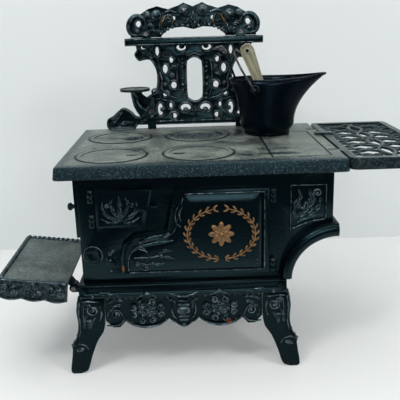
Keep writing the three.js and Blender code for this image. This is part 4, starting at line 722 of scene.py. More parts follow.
def on_right(x):
    """Seen from the right: across runs to the back, along y."""
    return lambda p: np.stack([x + p[:, 2], p[:, 0], p[:, 1]], -1)


def on_top(z):
    """Seen from above: across runs right, up runs back."""
    return lambda p: np.stack([p[:, 0], p[:, 1], z + p[:, 2]], -1)


def make_piece(name, shapes, face, material=RELIEF, body="stove"):
    """One mesh object of all the shapes, laid on a face, riding on a body, with one finish."""
    points, faces, offset = [], [], 0
    for part, quads, triangles in shapes:
        points.append(placed(face(part)))
        faces += (quads + offset).tolist() + (triangles + offset).tolist()
        offset += len(part)
    mesh = bpy.data.meshes.new(name)
    mesh.from_pydata(np.vstack(points).tolist(), [], faces)
    mesh.materials.append(material)
    mesh.shade_smooth()
    piece = bpy.data.objects.new(name, mesh)
    bpy.context.scene.collection.objects.link(piece)
    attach(piece, body)
    print(name, len(faces), "faces")
    return piece


print("faces ready")

# %% [markdown]
# ## Fire door relief
# The small door over the fire carries a spray of acanthus: a tall middle leaf, leaves that
# bend away on both sides, and a scroll under each. A picture pressed into a bump would be
# quick, but leaves with height of their own catch the light from any side. The spray is
# cast with the door, so it rides on the door and swings with it.

# %% Acanthus spray on the fire door
def spray(x, z, wide, tall):
    """Half a spray: three leaves bending outwards and one scroll, from a root at (x, z)."""
    return [
        leaf([(x - 0.05 * wide, z), (x - 0.25 * wide, z + 0.35 * tall), (x - 0.42 * wide, z + 0.72 * tall),
              (x - 0.3 * wide, z + 0.97 * tall)], 0.13 * wide, 1.2),
        leaf([(x - 0.08 * wide, z), (x - 0.45 * wide, z + 0.16 * tall), (x - 0.8 * wide, z + 0.45 * tall),
              (x - 0.82 * wide, z + 0.85 * tall)], 0.13 * wide, 1.2),
        leaf([(x - 0.1 * wide, z - 0.03 * tall), (x - 0.5 * wide, z - 0.04 * tall),
              (x - 0.95 * wide, z + 0.16 * tall)], 0.08 * wide, 1.0),
        *scroll((x - 0.58 * wide, z + 0.66 * tall), 0.11 * wide, 0.75, -1.1, width=0.045 * wide),
    ]


fire_left, fire_right, fire_low, fire_high = -83.2, -47.5, 132.6, 158.8
fire_x, fire_half, fire_tall = -66.0, 16.5, 20.5
fire_side = spray(fire_x, fire_low + 2.4, fire_half, fire_tall)
fire_shapes = [
    leaf([(fire_x, fire_low + 2), (fire_x, fire_low + 12), (fire_x, fire_high - 2.2)], 2.6, 1.3, 5),
    *fire_side, *mirrored(fire_side, fire_x),
    *beads([(fire_left + 1.5, fire_high - 0.9), (fire_right - 0.6, fire_high - 0.9)], 22, 0.5, 0.5),
    bar((fire_left, fire_low), (fire_left, fire_high), 0.45, 0.7, 8),
    bar((fire_left, fire_low), (fire_right - 0.8, fire_low), 0.45, 0.7, 8),
]
FIRE_FACE = 5.3
make_piece("fire_door_spray", fire_shapes, on_front(FIRE_FACE), body="fire_door")

# %% [markdown]
# ## Panel of the oven door
# Inside a flat border the oven door swells into a smooth panel that follows the door's
# stepped outline. It could be a subdivided sheet pushed out by hand. Here each point rises
# by how far it lies from the outline, so the swell is even all round, and the band along
# its top leans back and catches the light.

# %% Pillow of the oven door
OVEN_FACE, PILLOW_HEIGHT, PILLOW_EDGE, PILLOW_FOOT = 5.3, 1.7, 8.0, 91.2


def pillow(top, foot, edge, height, columns=96, rows=34):
    """Closed panel under a top line: out = height · (1 − (1 − min(d / edge, 1))²), d = way to the outline."""
    brow = smooth_path(top, columns)
    drop = (1 - np.cos(np.linspace(0, np.pi, rows))) / 2
    up = brow[:, 1:] + (foot - brow[:, 1:]) * drop
    flat = np.stack([np.broadcast_to(brow[:, :1], up.shape), up], -1)
    rim = np.concatenate([brow, [[brow[-1, 0], foot], [brow[0, 0], foot], brow[0]]])
    start, run = rim[:-1], np.diff(rim, axis=0)
    share = ((flat[..., None, :] - start) * run).sum(-1) / (run ** 2).sum(-1)
    nearest = start + np.clip(share, 0, 1)[..., None] * run
    away = np.linalg.norm(flat[..., None, :] - nearest, axis=-1).min(-1)
    rise = height * (1 - (1 - np.minimum(away / edge, 1)) ** 2)
    rings = np.concatenate([flat, rise[..., None]], -1)
    under = rings[:, [-1, 0]].copy()
    under[..., 2] = -SUNK
    return skin(np.concatenate([rings, under], 1))


pillow_top = [(-61.6, 97), (-60.5, 104.4), (-56.5, 110.4), (-50, 114.6), (-43, 118), (-35, 119.8),
              (-28.5, 121.4), (-23.6, 125.2), (-21, 131), (-19.2, 138), (-17.2, 146), (-15.4, 152.4),
              (-13.6, 154.8), (-10, 155.4), (20, 155.4), (48.6, 155.4)]
make_piece("oven_door_pillow", [pillow(pillow_top, PILLOW_FOOT, PILLOW_EDGE, PILLOW_HEIGHT)],
           on_front(OVEN_FACE), JAPAN, "oven_door")

# %% [markdown]
# ## Ridges and branch
# A thin raised line frames the panel, and a flowering branch lies on its low left lobe.
# Lines and stems are vines, petals are leaves, and buds are bosses. The branch stands on
# the panel and the line on the door's border, so they are two pieces on two levels.

# %% Ridges and branch on the oven door
PILLOW_FACE = OVEN_FACE - PILLOW_HEIGHT
inner_ridge = [(-61.5, 92.5), (-61.8, 98), (-60.5, 105), (-56.5, 111), (-50, 115.2), (-43, 118.6),
               (-35, 120.4), (-28.5, 121.8), (-23.8, 125.5), (-21.4, 131), (-19.6, 138), (-17.6, 146),
               (-15.4, 153.2)]
branch = [(-57, 104.2), (-50, 104.6), (-43, 104.4), (-37, 105.6), (-30, 104.5)]
ridge_shapes = [
    vine(inner_ridge, (0.6, 0.7, 0.6), 0.8, 60),
    vine([(-61.5, 91), (-20, 90.8), (49.6, 90.6)], (0.7, 0.7), 0.8, 24),
    bar((49.6, 90.6), (49.6, 156.4), 0.7, 0.8, 16), bar((-14, 156.6), (49.6, 156.6), 0.8, 0.9, 20),
]
oven_shapes = [
    vine([(-52, 117), (-42, 121), (-33, 123.4)], (0.6, 1.9, 1.4, 0.5), 0.9, 20, 9),
    vine([(-58, 112), (-46, 115), (-34, 117), (-24, 118.4)], (0.3, 1.3, 1.6, 0.3), 0.8, 24, 9),
    vine(branch, (0.4, 0.7, 0.6, 0.9, 0.5), 0.9, 26),
    vine([(-43, 104.4), (-47, 110), (-54, 112.4)], (0.5, 0.7, 0.3), 0.8, 14),
    vine([(-45, 104.4), (-48, 100), (-53, 99.2)], (0.5, 0.6, 0.3), 0.8, 14),
    leaf([(-38, 105.4), (-32, 109.6), (-25.5, 109)], 1.5, 1.0, 3),
    leaf([(-37, 105.2), (-30, 104.2), (-23.4, 101.8)], 1.6, 1.0, 3),
    leaf([(-47, 110.2), (-51, 113.6), (-57, 109.6)], 1.2, 0.9, 3),
    leaf([(-43.4, 100.4), (-38, 98.2), (-32, 98.8)], 1.4, 0.9, 3),
    *scroll((-47.6, 95.9), 2.9, 0.2, 1.3, [(-40, 98.6), (-43.5, 98.9)], 0.65, 0.9),
    *scroll((-53.8, 99), 1.7, 0.1, 1.0, width=0.45, height=0.8),
    boss((-34.4, 105.7), 1.5, 1.2), boss((-28.2, 123.6), 1.7, 1.2), boss((42.8, 96), 0.8, 0.8),
    boss((43.4, 99.6), 0.6, 0.7),
    vine([(-19.5, 147), (-22, 141), (-21.4, 134), (-18, 129.4)], (0.3, 0.8, 0.8, 0.3), 0.8, 18),
    vine([(-16, 146.6), (-18.4, 140.6), (-17.8, 134)], (0.25, 0.6, 0.25), 0.7, 14),
]
make_piece("oven_door_ridges", ridge_shapes, on_front(OVEN_FACE), body="oven_door")
make_piece("oven_door_branch", oven_shapes, on_front(PILLOW_FACE + 0.1), body="oven_door")

# %% [markdown]
# ## Wreath and rosette
# The middle of the panel has an oval laurel wreath round a rosette, both rubbed down to a
# bronze colour. They could be drawn leaf by leaf, but a loop that places leaves along an
# oval, and petals by their angle, keeps such a pattern even.

# %% Laurel wreath and rosette
def wreath(x, z, half_x, half_z, pairs):
    """Leaves in pairs round an oval, each slanting off its stem, from the foot up both sides."""
    shapes = []
    for side in (-1, 1):
        angle = np.linspace(-0.47, 0.43, pairs) * np.pi
        stem = np.stack([x + side * half_x * np.cos(angle), z + half_z * np.sin(angle)], -1)
        along = np.stack([-side * half_x * np.sin(angle), half_z * np.cos(angle)], -1)
        along /= np.linalg.norm(along, axis=1)[:, None]
        out = np.stack([along[:, 1], -along[:, 0]], -1)
        shapes.append(vine(stem, (0.5, 0.6, 0.35), 0.8, 30))
        for way in (-1, 1):
            for foot, go, off in zip(stem, along, out * way):
                tip = foot + 4.0 * go + 2.7 * off
                shapes.append(leaf([foot, foot + 1.9 * go + 1.9 * off, tip], 1.05, 1.0, 2, 10, 7))
    return shapes


def rosette(x, z, radius, petals):
    """Rings of round-tipped petals, a low ring and a smaller one over its gaps, about a domed eye."""
    shapes = []
    for reach, height, shift in ((1.0, 0.9, 0.0), (0.66, 1.25, 0.5)):
        for number in range(petals):
            angle = 2 * np.pi * (number + shift) / petals + np.pi / 2
            middle = (x + 0.6 * reach * radius * np.cos(angle), z + 0.6 * reach * radius * np.sin(angle))
            shapes.append(boss(middle, 0.4 * reach * radius, height, squash=0.54, turn=angle))
    return [*shapes, boss((x, z), 0.2 * radius, 1.7)]


wreath_x, wreath_z = 14.5, 122.5
bronze_shapes = [*wreath(wreath_x, wreath_z, 27.5, 21.5, 13), *rosette(wreath_x, wreath_z, 10.5, 8)]
make_piece("oven_door_wreath", bronze_shapes, on_front(PILLOW_FACE), BRONZE, "oven_door")

# %% [markdown]
# ## Panels and marks on the front plate
# The reservoir front has a framed panel with a curled leaf, and its frame bends under to
# follow the sweep of the foot. Low on the left the draft ring has a thin raised rim, and
# the catch block beside it has a small leaf above and a bead below. The thick rolled edge
# of the sweep could be a bevel on the plate, but a vine can swell towards its outer end.

# %% Reservoir panel, draft ring, catch block
FRONT_FACE, SWEEP_FACE = 9.0, 4.5
panel_path = [(72.4, 123.4), (78.8, 126.2), (86.5, 129), (93, 130.2), (98.8, 130.8)]
panel_shapes = [
    bar((71, 121.6), (71, 159.6), 0.5, 0.9, 12), bar((99.4, 130.4), (99.4, 159.2), 0.5, 0.9, 12),
    bar((70.6, 160), (99.8, 159.6), 0.6, 0.9, 12), vine(panel_path, (0.7, 0.8, 0.7), 1.0, 24),
    leaf([(74.5, 132), (82, 139), (88, 147), (86, 156)], 4.4, 1.5, 5, 34, 13),
    leaf([(76, 131), (85, 134.4), (93, 141), (95, 149)], 3.2, 1.3, 4),
    leaf([(74, 134), (74.6, 143), (78.6, 150), (77, 156.4)], 2.6, 1.2, 4),
    *scroll((92.4, 153), 3.4, 0.6, -1.2, [(86, 148), (88.4, 152.4)], 0.9, 1.1),
    *scroll((77.4, 142.4), 2.4, 0.1, 1.1, width=0.6),
    vine([(75.4, 128.4), (84, 131.6), (92, 134), (97, 134)], (0.4, 1.4, 1.2, 0.3), 1.0, 22, 9),
]
mark_shapes = [
    vine(spiral((-90.5, 105.8), 7.6, 7.6, 0, 1, 24)[:-1], (0.5,), 0.7, 40, closed=True),
    bar((-79.4, 94.6), (-79.4, 103.4), 0.4, 0.6, 6), bar((-73.2, 94.6), (-73.2, 103.4), 0.4, 0.6, 6),
    leaf([(-78, 105), (-75.4, 107.6), (-72.6, 110.6)], 1.6, 0.8, 2), boss((-76.3, 91.6), 0.9, 0.8),
    boss((-76.3, 101.6), 1.1, 1.6, squash=0.5),
]
sweep_path = [(68.3, 81.6), (68.5, 85.9), (69.3, 90.4), (70.6, 94.8), (72.4, 99.1), (74.7, 103.1),
              (77.4, 106.9), (80.5, 110.3), (84, 113.4), (87.8, 116), (91.9, 118.2), (96.2, 120),
              (100.7, 121.2), (105.3, 122.1), (109.6, 122.3)]
make_piece("sweep_roll", [vine(sweep_path, (3.9, 4.3, 5.0, 5.3), 2.0, 50, 13)], on_front(SWEEP_FACE), JAPAN)
make_piece("front_plate_panel", panel_shapes, on_front(FRONT_FACE))
make_piece("front_plate_marks", mark_shapes, on_front(FRONT_FACE))

# %% [markdown]
# ## Skirt relief
# Under the body the base drops a skirt of broad round lobes. Two of them are packed with
# a swirling flower, the middle one is a ribbed pendant, and each outer one has curls that
# run up to the leg. Above them, along the moulding, lies a row of slanting tongues. Flower
# and tongues could be set one by one, but functions keep their spacing even at any size.

# %% Skirt ornament of the front
def swirl(x, z, size):
    """A flower of curved petals, ringed by scrolls and small leaves, about (x, z)."""
    shapes = [boss((x, z), 0.17 * size, 1.9)]
    for number in range(7):
        a = 2 * np.pi * number / 7
        turned = [(x + size * r * np.cos(a + s), z + size * 0.72 * r * np.sin(a + s))
                  for r, s in ((0.16, 0), (0.36, 0.35), (0.56, 0.9))]
        shapes.append(leaf(turned, 0.16 * size, 1.7, 2, 14, 7))
        shapes.append(boss((x + size * 0.62 * np.cos(a + 0.5), z + size * 0.44 * np.sin(a + 0.5)),
                           0.06 * size, 1.3))
    for number in range(8):
        a = 2 * np.pi * (number + 0.5) / 8
        place = (x + 0.8 * size * np.cos(a), z + 0.58 * size * np.sin(a))
        shapes += scroll(place, 0.18 * size, number / 8, 1.1 if number % 2 else -1.1, width=0.075 * size,
                         height=1.6)
    return shapes


def tongues(start, end, z, number):
    """Slanting leaves in a row, and a thin line over them."""
    shapes = [bar((start, z + 3.4), (end, z + 3.4), 0.4, 0.6, 20)]
    for x in np.linspace(start + 3, end - 3, number):
        lean = 1.6 * np.sign((start + end) / 2 - x)
        shapes.append(leaf([(x - lean, z - 2.2), (x, z), (x + lean, z + 2.6)], 1.5, 1.1, 2, 10, 7))
    return shapes


SKIRT_FACE, skirt_x = 6.0, -18.0
skirt_half = [
    *swirl(skirt_x - 30.5, 56.0, 15.5),
    vine([(-67, 48), (-60, 43.4), (-49, 41.2), (-39, 43.2), (-32, 47.6)], (0.8, 1.3, 0.8), 1.5, 30),
    vine([(-68.5, 48), (-72, 44.6), (-78, 43.2), (-83, 43.6)], (0.6, 0.8, 0.5), 1.0, 20),
    *scroll((-74.5, 54), 4.0, 0.1, 1.3, [(-67, 46.8), (-69, 52)], 0.9, 1.2),
    leaf([(-70, 62), (-75, 60.6), (-80.4, 56)], 2.0, 1.1, 3),
    leaf([(-68, 66), (-75, 66.4), (-82, 63)], 1.8, 1.1, 3),
    leaf([(-79, 47), (-81.5, 51), (-81.4, 56)], 1.3, 1.0, 3),
    leaf([(-31, 66.5), (-26, 63), (-25.4, 56)], 1.6, 1.1, 3),
    vine([(-31, 49), (-27, 45.6), (-23.6, 44)], (0.4, 0.8, 0.5), 1.0, 14),
    vine([(-27.4, 62), (-28, 56), (-26.4, 50.4), (-24, 47.6)], (0.3, 0.8, 0.8, 0.3), 1.1, 18),
]
PENDANT_RIBS = ((64, 4.4), (60.4, 5.6), (50, 5.2), (46.8, 4.2))
pendant = [
    *(boss((skirt_x, z), wide, 1.4, squash=0.3) for z, wide in PENDANT_RIBS),
    boss((skirt_x, 55.4), 6.4, 2.2, squash=0.62), boss((skirt_x - 1.6, 56), 1.1, 2.7),
    boss((skirt_x, 42.6), 1.7, 1.2),
    vine([(skirt_x - 8.6, 45.6), (skirt_x, 40.6), (skirt_x + 8.6, 45.6)], (0.4, 1.0, 0.4), 1.2, 20),
]
skirt_shapes = [*skirt_half, *mirrored(skirt_half, skirt_x), *pendant, *tongues(-83, 47, 69.4, 26)]
make_piece("skirt_relief", skirt_shapes, on_front(SKIRT_FACE))

# %% [markdown]
# ## Moulding, side and rear skirts
# Above the skirt runs a half-round moulding with leaves and garlands, and a thin line over
# it. The sides and the rear could have ornament of their own. A maker uses one pattern
# twice, though, so the sides have a smaller drawing of the same kind, and the rear repeats
# the front.

# %% Moulding, side and rear skirts
MOULDING_FACE, LEFT_FACE, RIGHT_FACE, REAR_FACE = 5.0, -103.0, 67.0, 164.0
moulding_shapes = [
    leaf([(-92, 70.6), (-84, 73.2), (-74, 71.6), (-62, 72.2)], 2.0, 2.0, 5), boss((-93, 71.2), 2.0, 2.3),
    leaf([(56, 70.6), (46, 73), (36, 71.6), (28, 72)], 2.0, 2.0, 4), boss((57, 71.2), 2.0, 2.3),
    vine([(-56, 69.6), (-48, 72.8), (-40, 70)], (0.6, 1.8, 0.6), 2.3, 20, 9),
    vine([(20, 69.6), (12, 72.8), (4, 70)], (0.6, 1.8, 0.6), 2.3, 20, 9),
    vine([(-30, 72.6), (-18, 69.2), (-6, 72.6)], (0.6, 1.4, 0.6), 2.3, 24, 9),
]
moulding_roll = [bar((-103.2, 79.8), (67.2, 79.8), 0.7, 0.8, 20),
                 vine([(-103.2, 71.4), (67.2, 71.4)], (2.6, 2.6), 1.5, 40, 11)]
make_piece("moulding_roll", moulding_roll, on_front(MOULDING_FACE), JAPAN)
make_piece("moulding_relief", moulding_shapes, on_front(MOULDING_FACE))

side_x = -85.0
side_half = [*swirl(side_x - 28, 56, 13.5), *tongues(side_x - 56, side_x - 4, 69.4, 10),
             vine([(side_x - 44, 48), (side_x - 36, 43), (side_x - 28, 41.4), (side_x - 14, 45)],
                  (0.6, 0.8, 0.6), 1.0, 26)]
side_shapes = [*side_half, *mirrored(side_half, side_x), boss((side_x, 55), 6, 1.8, squash=0.7)]
make_piece("skirt_relief_left", side_shapes, on_left(LEFT_FACE))
make_piece("skirt_relief_right", mirrored(side_shapes, 0.0), on_right(RIGHT_FACE))
make_piece("skirt_relief_rear", mirrored(skirt_shapes, 0.0), on_back(REAR_FACE))

# %% [markdown]
# ## Leg relief
# Each leg is a corner casting. Its knee has two curled leaves round bright bosses, a rib
# runs down its outer corner, and a rolled collar with an oval boss crosses above the foot.
# The drawing is made once for a left front face and mirrored for the others, and the face
# function adds how far the leg stands out at each height, so the relief follows its curve.

# %% Knee scrolls and ankle eyes
LEG_PROFILE = smooth_path([(1.0, 68.2), (2.6, 58.0), (2.0, 46.4), (3.4, 37.5), (8.4, 26.6), (10.0, 16.4),
                           (12.0, 3.4), (10.0, 0.0)], 60)[::-1]
FORWARD = 0.12


def leg_swell(z):
    """How far the leg stands out beyond the base's corner at each height."""
    return np.interp(z, LEG_PROFILE[:, 1], LEG_PROFILE[:, 0])


def on_leg(along, across, right, rear):
    """Lays (inwards, up, out) on a leg's face that runs along one axis and faces across the other."""
    corner = {0: 68.0 if right else -104.0, 1: 165.0 if rear else 5.0}
    way = {0: -1 if right else 1, 1: -1 if rear else 1}
    share = {0: 1.0, 1: FORWARD}

    def face(p):
        """Along: corner + way·(inwards + (1 − share)·swell). Across: corner − way·(share·swell + out)."""
        laid, swell = np.empty_like(p), leg_swell(p[:, 1])
        laid[:, along] = corner[along] + way[along] * (p[:, 0] + (1 - share[along]) * swell)
        laid[:, across] = corner[across] - way[across] * (share[across] * swell + p[:, 2])
        laid[:, 2] = p[:, 1]
        return laid
    return face


def handed(shapes, flip):
    """The shapes as they are, or with every face turned over, to suit a mirrored face function."""
    if not flip:
        return shapes
    return [(points, quads[:, ::-1], triangles[:, ::-1]) for points, quads, triangles in shapes]


knee = [
    *scroll((10.4, 58.6), 4.6, 0.3, 1.4, [(3.4, 47.6), (2.2, 56), (4.4, 64.4)], 1.1, 1.2),
    *scroll((4.2, 62.6), 2.4, 0.2, -1.3, width=0.7, height=1.1),
    leaf([(6.4, 41), (7.2, 46), (11.8, 51.2)], 2.2, 1.0, 4),
    leaf([(2.2, 42), (2.4, 48), (4.8, 54)], 1.8, 0.9, 4),
    vine([(-0.2, 66), (-1.4, 56), (-0.8, 44), (-2.6, 34)], (0.5, 0.8, 0.7, 0.4), 0.8, 26),
    vine([(1.6, 66.4), (8, 66.9), (16.4, 65.8)], (0.5, 1.2, 0.5), 1.2, 16),
    vine([(16.4, 62), (17.4, 55), (15.6, 48.6)], (0.4, 1.0, 0.4), 1.0, 16),
    boss((10.4, 58.6), 1.9, 1.6), boss((6.6, 49.4), 2.5, 1.4, squash=0.5, turn=0.1),
    boss((5.0, 64.8), 1.0, 1.2),
    boss((-2.4, 22.8), 3.8, 0.9, squash=0.5, turn=0.3), boss((-1.6, 23.2), 2.0, 1.5, squash=0.5, turn=0.3),
    vine([(-8.6, 26.4), (-3.6, 28.2), (2.2, 26.2), (4.6, 22.4)], (0.3, 0.8, 0.6, 0.3), 0.7, 18),
]
for right in (False, True):
    for rear in (False, True):
        name = ("rear" if rear else "front") + ("_right" if right else "_left")
        turned_over = right != rear
        make_piece("leg_relief_" + name, handed(knee, turned_over), on_leg(0, 1, right, rear))
        make_piece("leg_flank_" + name, handed(knee, not turned_over), on_leg(1, 0, right, rear))

# %% [markdown]
# ## High back relief
# The high back is fretwork: thin iron bars that curl round openings. Its bars are round on
# the front, so every opening gets a raised collar, and the outline a rolled edge. The
# openings are given as shares of the plate's half width and height, as they were measured.

# %% Collars and rolled edge of the high back
BACK_FACE, back_x, back_half, back_low, back_tall = 161.5, -1.0, 90.5, 182.3, 86.6
back_edge = np.array([
    (0.674, 0.05), (0.7, 0.012), (0.73, 0), (0.95, 0), (1, 0.035), (0.99, 0.11), (0.93, 0.145),
    (0.87, 0.2), (0.81, 0.237), (0.74, 0.2), (0.685, 0.14), (0.63, 0.133), (0.613, 0.21), (0.6, 0.29),
    (0.53, 0.36), (0.46, 0.41), (0.415, 0.485), (0.409, 0.66), (0.475, 0.8), (0.558, 0.81),
    (0.608, 0.8), (0.646, 0.855), (0.62, 0.91), (0.632, 0.98)])
back_openings = [
    (0.138, 0.92, 0.056, 0.04), (0.4, 0.885, 0.025, 0.055), (0.25, 0.79, 0.026, 0.042),
    (0.32, 0.687, 0.032, 0.055), (0.232, 0.5, 0.036, 0.044), (0.33, 0.4, 0.03, 0.03),
    (0.392, 0.225, 0.034, 0.077), (0.274, 0.27, 0.022, 0.037), (0.11, 0.237, 0.062, 0.05),
    (0.243, 0.148, 0.038, 0.036), (0.55, 0.93, 0.03, 0.025), (0.49, 0.165, 0.03, 0.026),
    (0.545, 0.27, 0.016, 0.02)]


def on_plate(shares):
    """Shares of the plate's half width and height to places on its left half."""
    return np.stack([back_x - shares[:, 0] * back_half, back_low + shares[:, 1] * back_tall], -1)


def collar(x, z, half_x, half_z, wide=1.5, tall=1.5, count=22):
    """Raised ring round an oval: the oval path plus part of the bar's own width."""
    angle = np.arange(count) / count * 2 * np.pi
    path = np.stack([x + (half_x + 0.55 * wide) * np.cos(angle),
                     z + (half_z + 0.55 * wide) * np.sin(angle)], -1)
    return vine(path, (wide,), tall, count, 7, closed=True)


INSET, LIFT = 0.985, 0.008
inset_edge = on_plate(back_edge * INSET + (0, LIFT))
back_side = [vine(inset_edge, (1.3, 1.5, 1.3), 1.5, 90)]
for x, z, rx, rz in back_openings:
    (px, pz), = on_plate(np.array([(x, z)]))
    back_side.append(collar(px, pz, rx * back_half, rz * back_tall))
print("collars and rolled edge", len(back_side), "shapes")

# %% [markdown]
# ## Balls, beads and scrolls of the high back
# Balls hang into the larger openings and make them crescents. Beads climb both sides of
# the tall slot, which has a rim of its own, and C scrolls hold the whole together. Only
# the left half is listed. The right one is its mirror image.

# %% Balls, beads and scrolls of the high back
back_side += [
    boss((-12.9, 263.6), 3.0, 2.0), boss((-10.9, 200.4), 3.0, 2.4), boss((-34.6, 201.6), 2.4, 2.0),
    boss((-21.6, 243.4), 4.2, 2.6), boss((-23.4, 235.6), 3.4, 2.2), boss((-30.6, 226.6), 2.6, 1.8),
    *beads([(-12.4, 251), (-13.0, 240), (-13.0, 224), (-12.0, 212)], 9, 2.1, 1.7),
    vine([(-16.4, 252), (-18.2, 240), (-18.0, 224), (-14.8, 213.4)], (0.6, 1.2, 0.6), 1.6, 30),
    vine([(-36, 240), (-33.6, 232), (-33.4, 222), (-25, 214.6), (-13, 211.2)], (0.6, 1.7, 1.9, 1.2, 0.5),
         2.0, 40, 9),
    vine([(-41, 212.6), (-32, 211.4), (-24, 208.6), (-19.6, 203)], (0.5, 1.6, 1.6, 0.5), 1.8, 30),
    *scroll((-41.6, 219.2), 3.6, 0.9, 1.2, [(-34, 228), (-36.6, 221)], 1.1, 1.7),
    *scroll((-28.6, 256.6), 3.8, 0.1, -1.2, [(-17, 254), (-22.6, 251)], 1.2, 1.8),
    *scroll((-42, 256), 4.0, 0.2, 1.2, [(-35.6, 246), (-37, 251)], 1.2, 1.8),
    leaf([(-57, 252.6), (-51, 254.4), (-44, 262)], 2.4, 1.6, 3),
    leaf([(-88, 186.4), (-82.5, 193), (-74.5, 201)], 3.4, 2.0, 4),
    leaf([(-82, 185), (-74, 189), (-64, 190)], 2.4, 1.6, 3),
    leaf([(-59, 188), (-52, 192.4), (-47.6, 200)], 2.4, 1.6, 3),
    leaf([(-24.6, 189), (-24.6, 194), (-24.6, 199)], 1.5, 1.4, 2),
    bar((-88.4, 184.6), (-62.6, 184.6), 0.8, 1.1, 10),
]
SLOT_CORNERS = ((1, -14), (1, 14), (0.7, 20), (0, 22.4), (-0.7, 20), (-1, 14), (-1, -14), (-0.7, -20),
                (0, -22.4), (0.7, -20))
slot_rim = [(back_x + 8.6 * across, 231 + up) for across, up in SLOT_CORNERS]
back_shapes = [
    *back_side, *mirrored(back_side, back_x),
    bar((-41, 190), (39, 190), 0.9, 1.5, 16), bar((-41, 186.8), (39, 186.8), 0.6, 0.9, 16),
    leaf([(-1, 205), (-1, 200), (-1, 192.6)], 3.0, 2.0, 3), *beads([(-7, 200), (5, 200)], 5, 1.4, 2.2),
    vine([(-14, 258), (-7, 254.6), (-1, 256.6), (5, 254.6), (12, 258)], (0.5, 1.4, 1.6, 1.4, 0.5), 1.8, 30),
    vine(slot_rim, (1.3,), 1.5, 80, 7, closed=True),
]
make_piece("high_back_fret", back_shapes, on_front(BACK_FACE))
column = vine([(-59.6, 221.8), (-60.2, 213), (-57, 205), (-51, 200)], (6.4, 4.6, 5.6, 8.4), 3.6, 30, 11)
make_piece("teapot_column", [column], on_front(BACK_FACE))

# %% [markdown]
# ## Crest relief
# The crest crowns the shelf with a curl at each end, a fan and two humps in the middle,
# and a scalloped arch beneath. Where cloths rub it, the copper wash under the japan shows.
# That could be a mask in the finish. Separate small leaves keep it exactly on the tips.

# %% Crest curls, humps and scallops
crest_side = [
    vine([(-56, 273.8), (-62.4, 277), (-63.4, 285), (-58, 291.6), (-50.6, 291), (-47, 286), (-49.4, 281.4)],
         (1.4, 2.6, 3.0, 2.6, 1.8, 0.8), 2.4, 50, 9),
    boss((-55.6, 278.6), 2.8, 2.0), boss((-45.6, 293.2), 4.2, 2.6), boss((-36.4, 292.6), 5.6, 2.6),
    boss((-36.4, 292.6), 3.0, 3.6), boss((-9.8, 296.6), 6.0, 3.0), boss((-9.8, 296.6), 3.4, 3.8),
    leaf([(-44, 287), (-42, 281), (-36, 275.6)], 3.4, 2.2, 3),
    leaf([(-28, 276.6), (-33, 282), (-30, 290)], 2.6, 2.0, 3),
    *scroll((-24.4, 289.2), 4.2, 0.5, -1.3, [(-16, 281), (-19, 286)], 1.3, 2.0),
    *scroll((-49.6, 276.6), 2.6, 0.2, 1.2, width=0.8, height=1.8),
    leaf([(-3.4, 282.6), (-7, 287), (-13, 290.6)], 2.4, 2.0, 3),
    leaf([(-12, 282.6), (-15.6, 285.6), (-20.6, 282.4)], 2.0, 1.8, 3),
    vine([(-31.6, 293.6), (-24, 296.4), (-16.6, 294.6)], (0.8, 1.8, 0.8), 2.0, 20),
    *beads([(-32.6, 275.4), (-27, 279.4), (-15, 283), (-1, 281.2)], 9, 2.0, 1.9),
    collar(-54.4, 285.6, 2.7, 3.4, 1.0, 1.8), collar(-42.8, 281.5, 2.6, 2.1, 1.0, 1.6),
]
crest_middle = leaf([(-1, 280.4), (-1, 287), (-1, 297)], 3.4, 2.8, 4)
crest_shapes = [*crest_side, *mirrored(crest_side, back_x), crest_middle]
make_piece("crest_fret", crest_shapes, on_front(BACK_FACE))
rubbed = [vine([(-33, 282.6), (-30.6, 287), (-27.4, 293)], (0.5, 1.2, 0.5), 2.6, 16),
          vine([(-22, 284), (-19.6, 288.6)], (0.4, 0.9, 0.4), 2.2, 10)]
make_piece("crest_rubbed_leaves", [*rubbed, *mirrored(rubbed, back_x)], on_front(BACK_FACE), BRONZE)
shelf_lines = [bar((-66, 271.2), (64, 271.2), 0.5, 0.5, 12), bar((-66, 266.4), (64, 266.4), 0.6, 0.5, 12)]
SHELF_LIP_FACE = 139.2
make_piece("shelf_lip_lines", shelf_lines, on_front(SHELF_LIP_FACE))

# %% [markdown]
# ## Hearth shelf
# The hearth shelf hangs at a slant beside the ash door, and its front drops a lobed skirt
# of leaves. Laid on the face as it is, they would stand out of the measured box. So the
# front face of the shelf's softened copy is first moved back by the depth of the relief.

# %% Room for the skirt's leaves
SKIRT_OUT, SKIRT_BACK = -3.0, -1.2


def push_back(mesh, limit, level):
    """Moves every point in front of y = limit back to y = level, so that relief can stand there."""
    points = np.empty(3 * len(mesh.vertices))
    mesh.vertices.foreach_get("co", points)
    points = points.reshape(-1, 3)
    front = points[:, 1] < placed((0, limit, 0))[1]
    points[front, 1] = placed((0, level, 0))[1]
    mesh.vertices.foreach_set("co", points.ravel())
    mesh.update()
    print("points pushed back", int(front.sum()))


push_back(bpy.data.objects["hearth_shelf_cast"].data, SKIRT_OUT + 0.1, SKIRT_BACK)

# %% [markdown]
# ## Rope rim and leafy skirt
# A twisted rope runs round the shelf's far and outer edges. It is a bar whose radius swells
# twice round each ring, and the swell turns as the bar goes on, which reads as two strands.
# Two twisted tubes could do it too, but one bar has no hidden faces inside. Rope and
# leaves are drawn level and then turned about the hinge by the shelf's slant.

# %% Rope rim and leafy skirt
HINGE_X, HINGE_Z, HEARTH_END, SLANT = -108.5, 78.0, -167.4, np.radians(7)
ROPE_RADIUS, ROPE_PITCH, RINGS_A_PITCH = 1.85, 9.0, 14


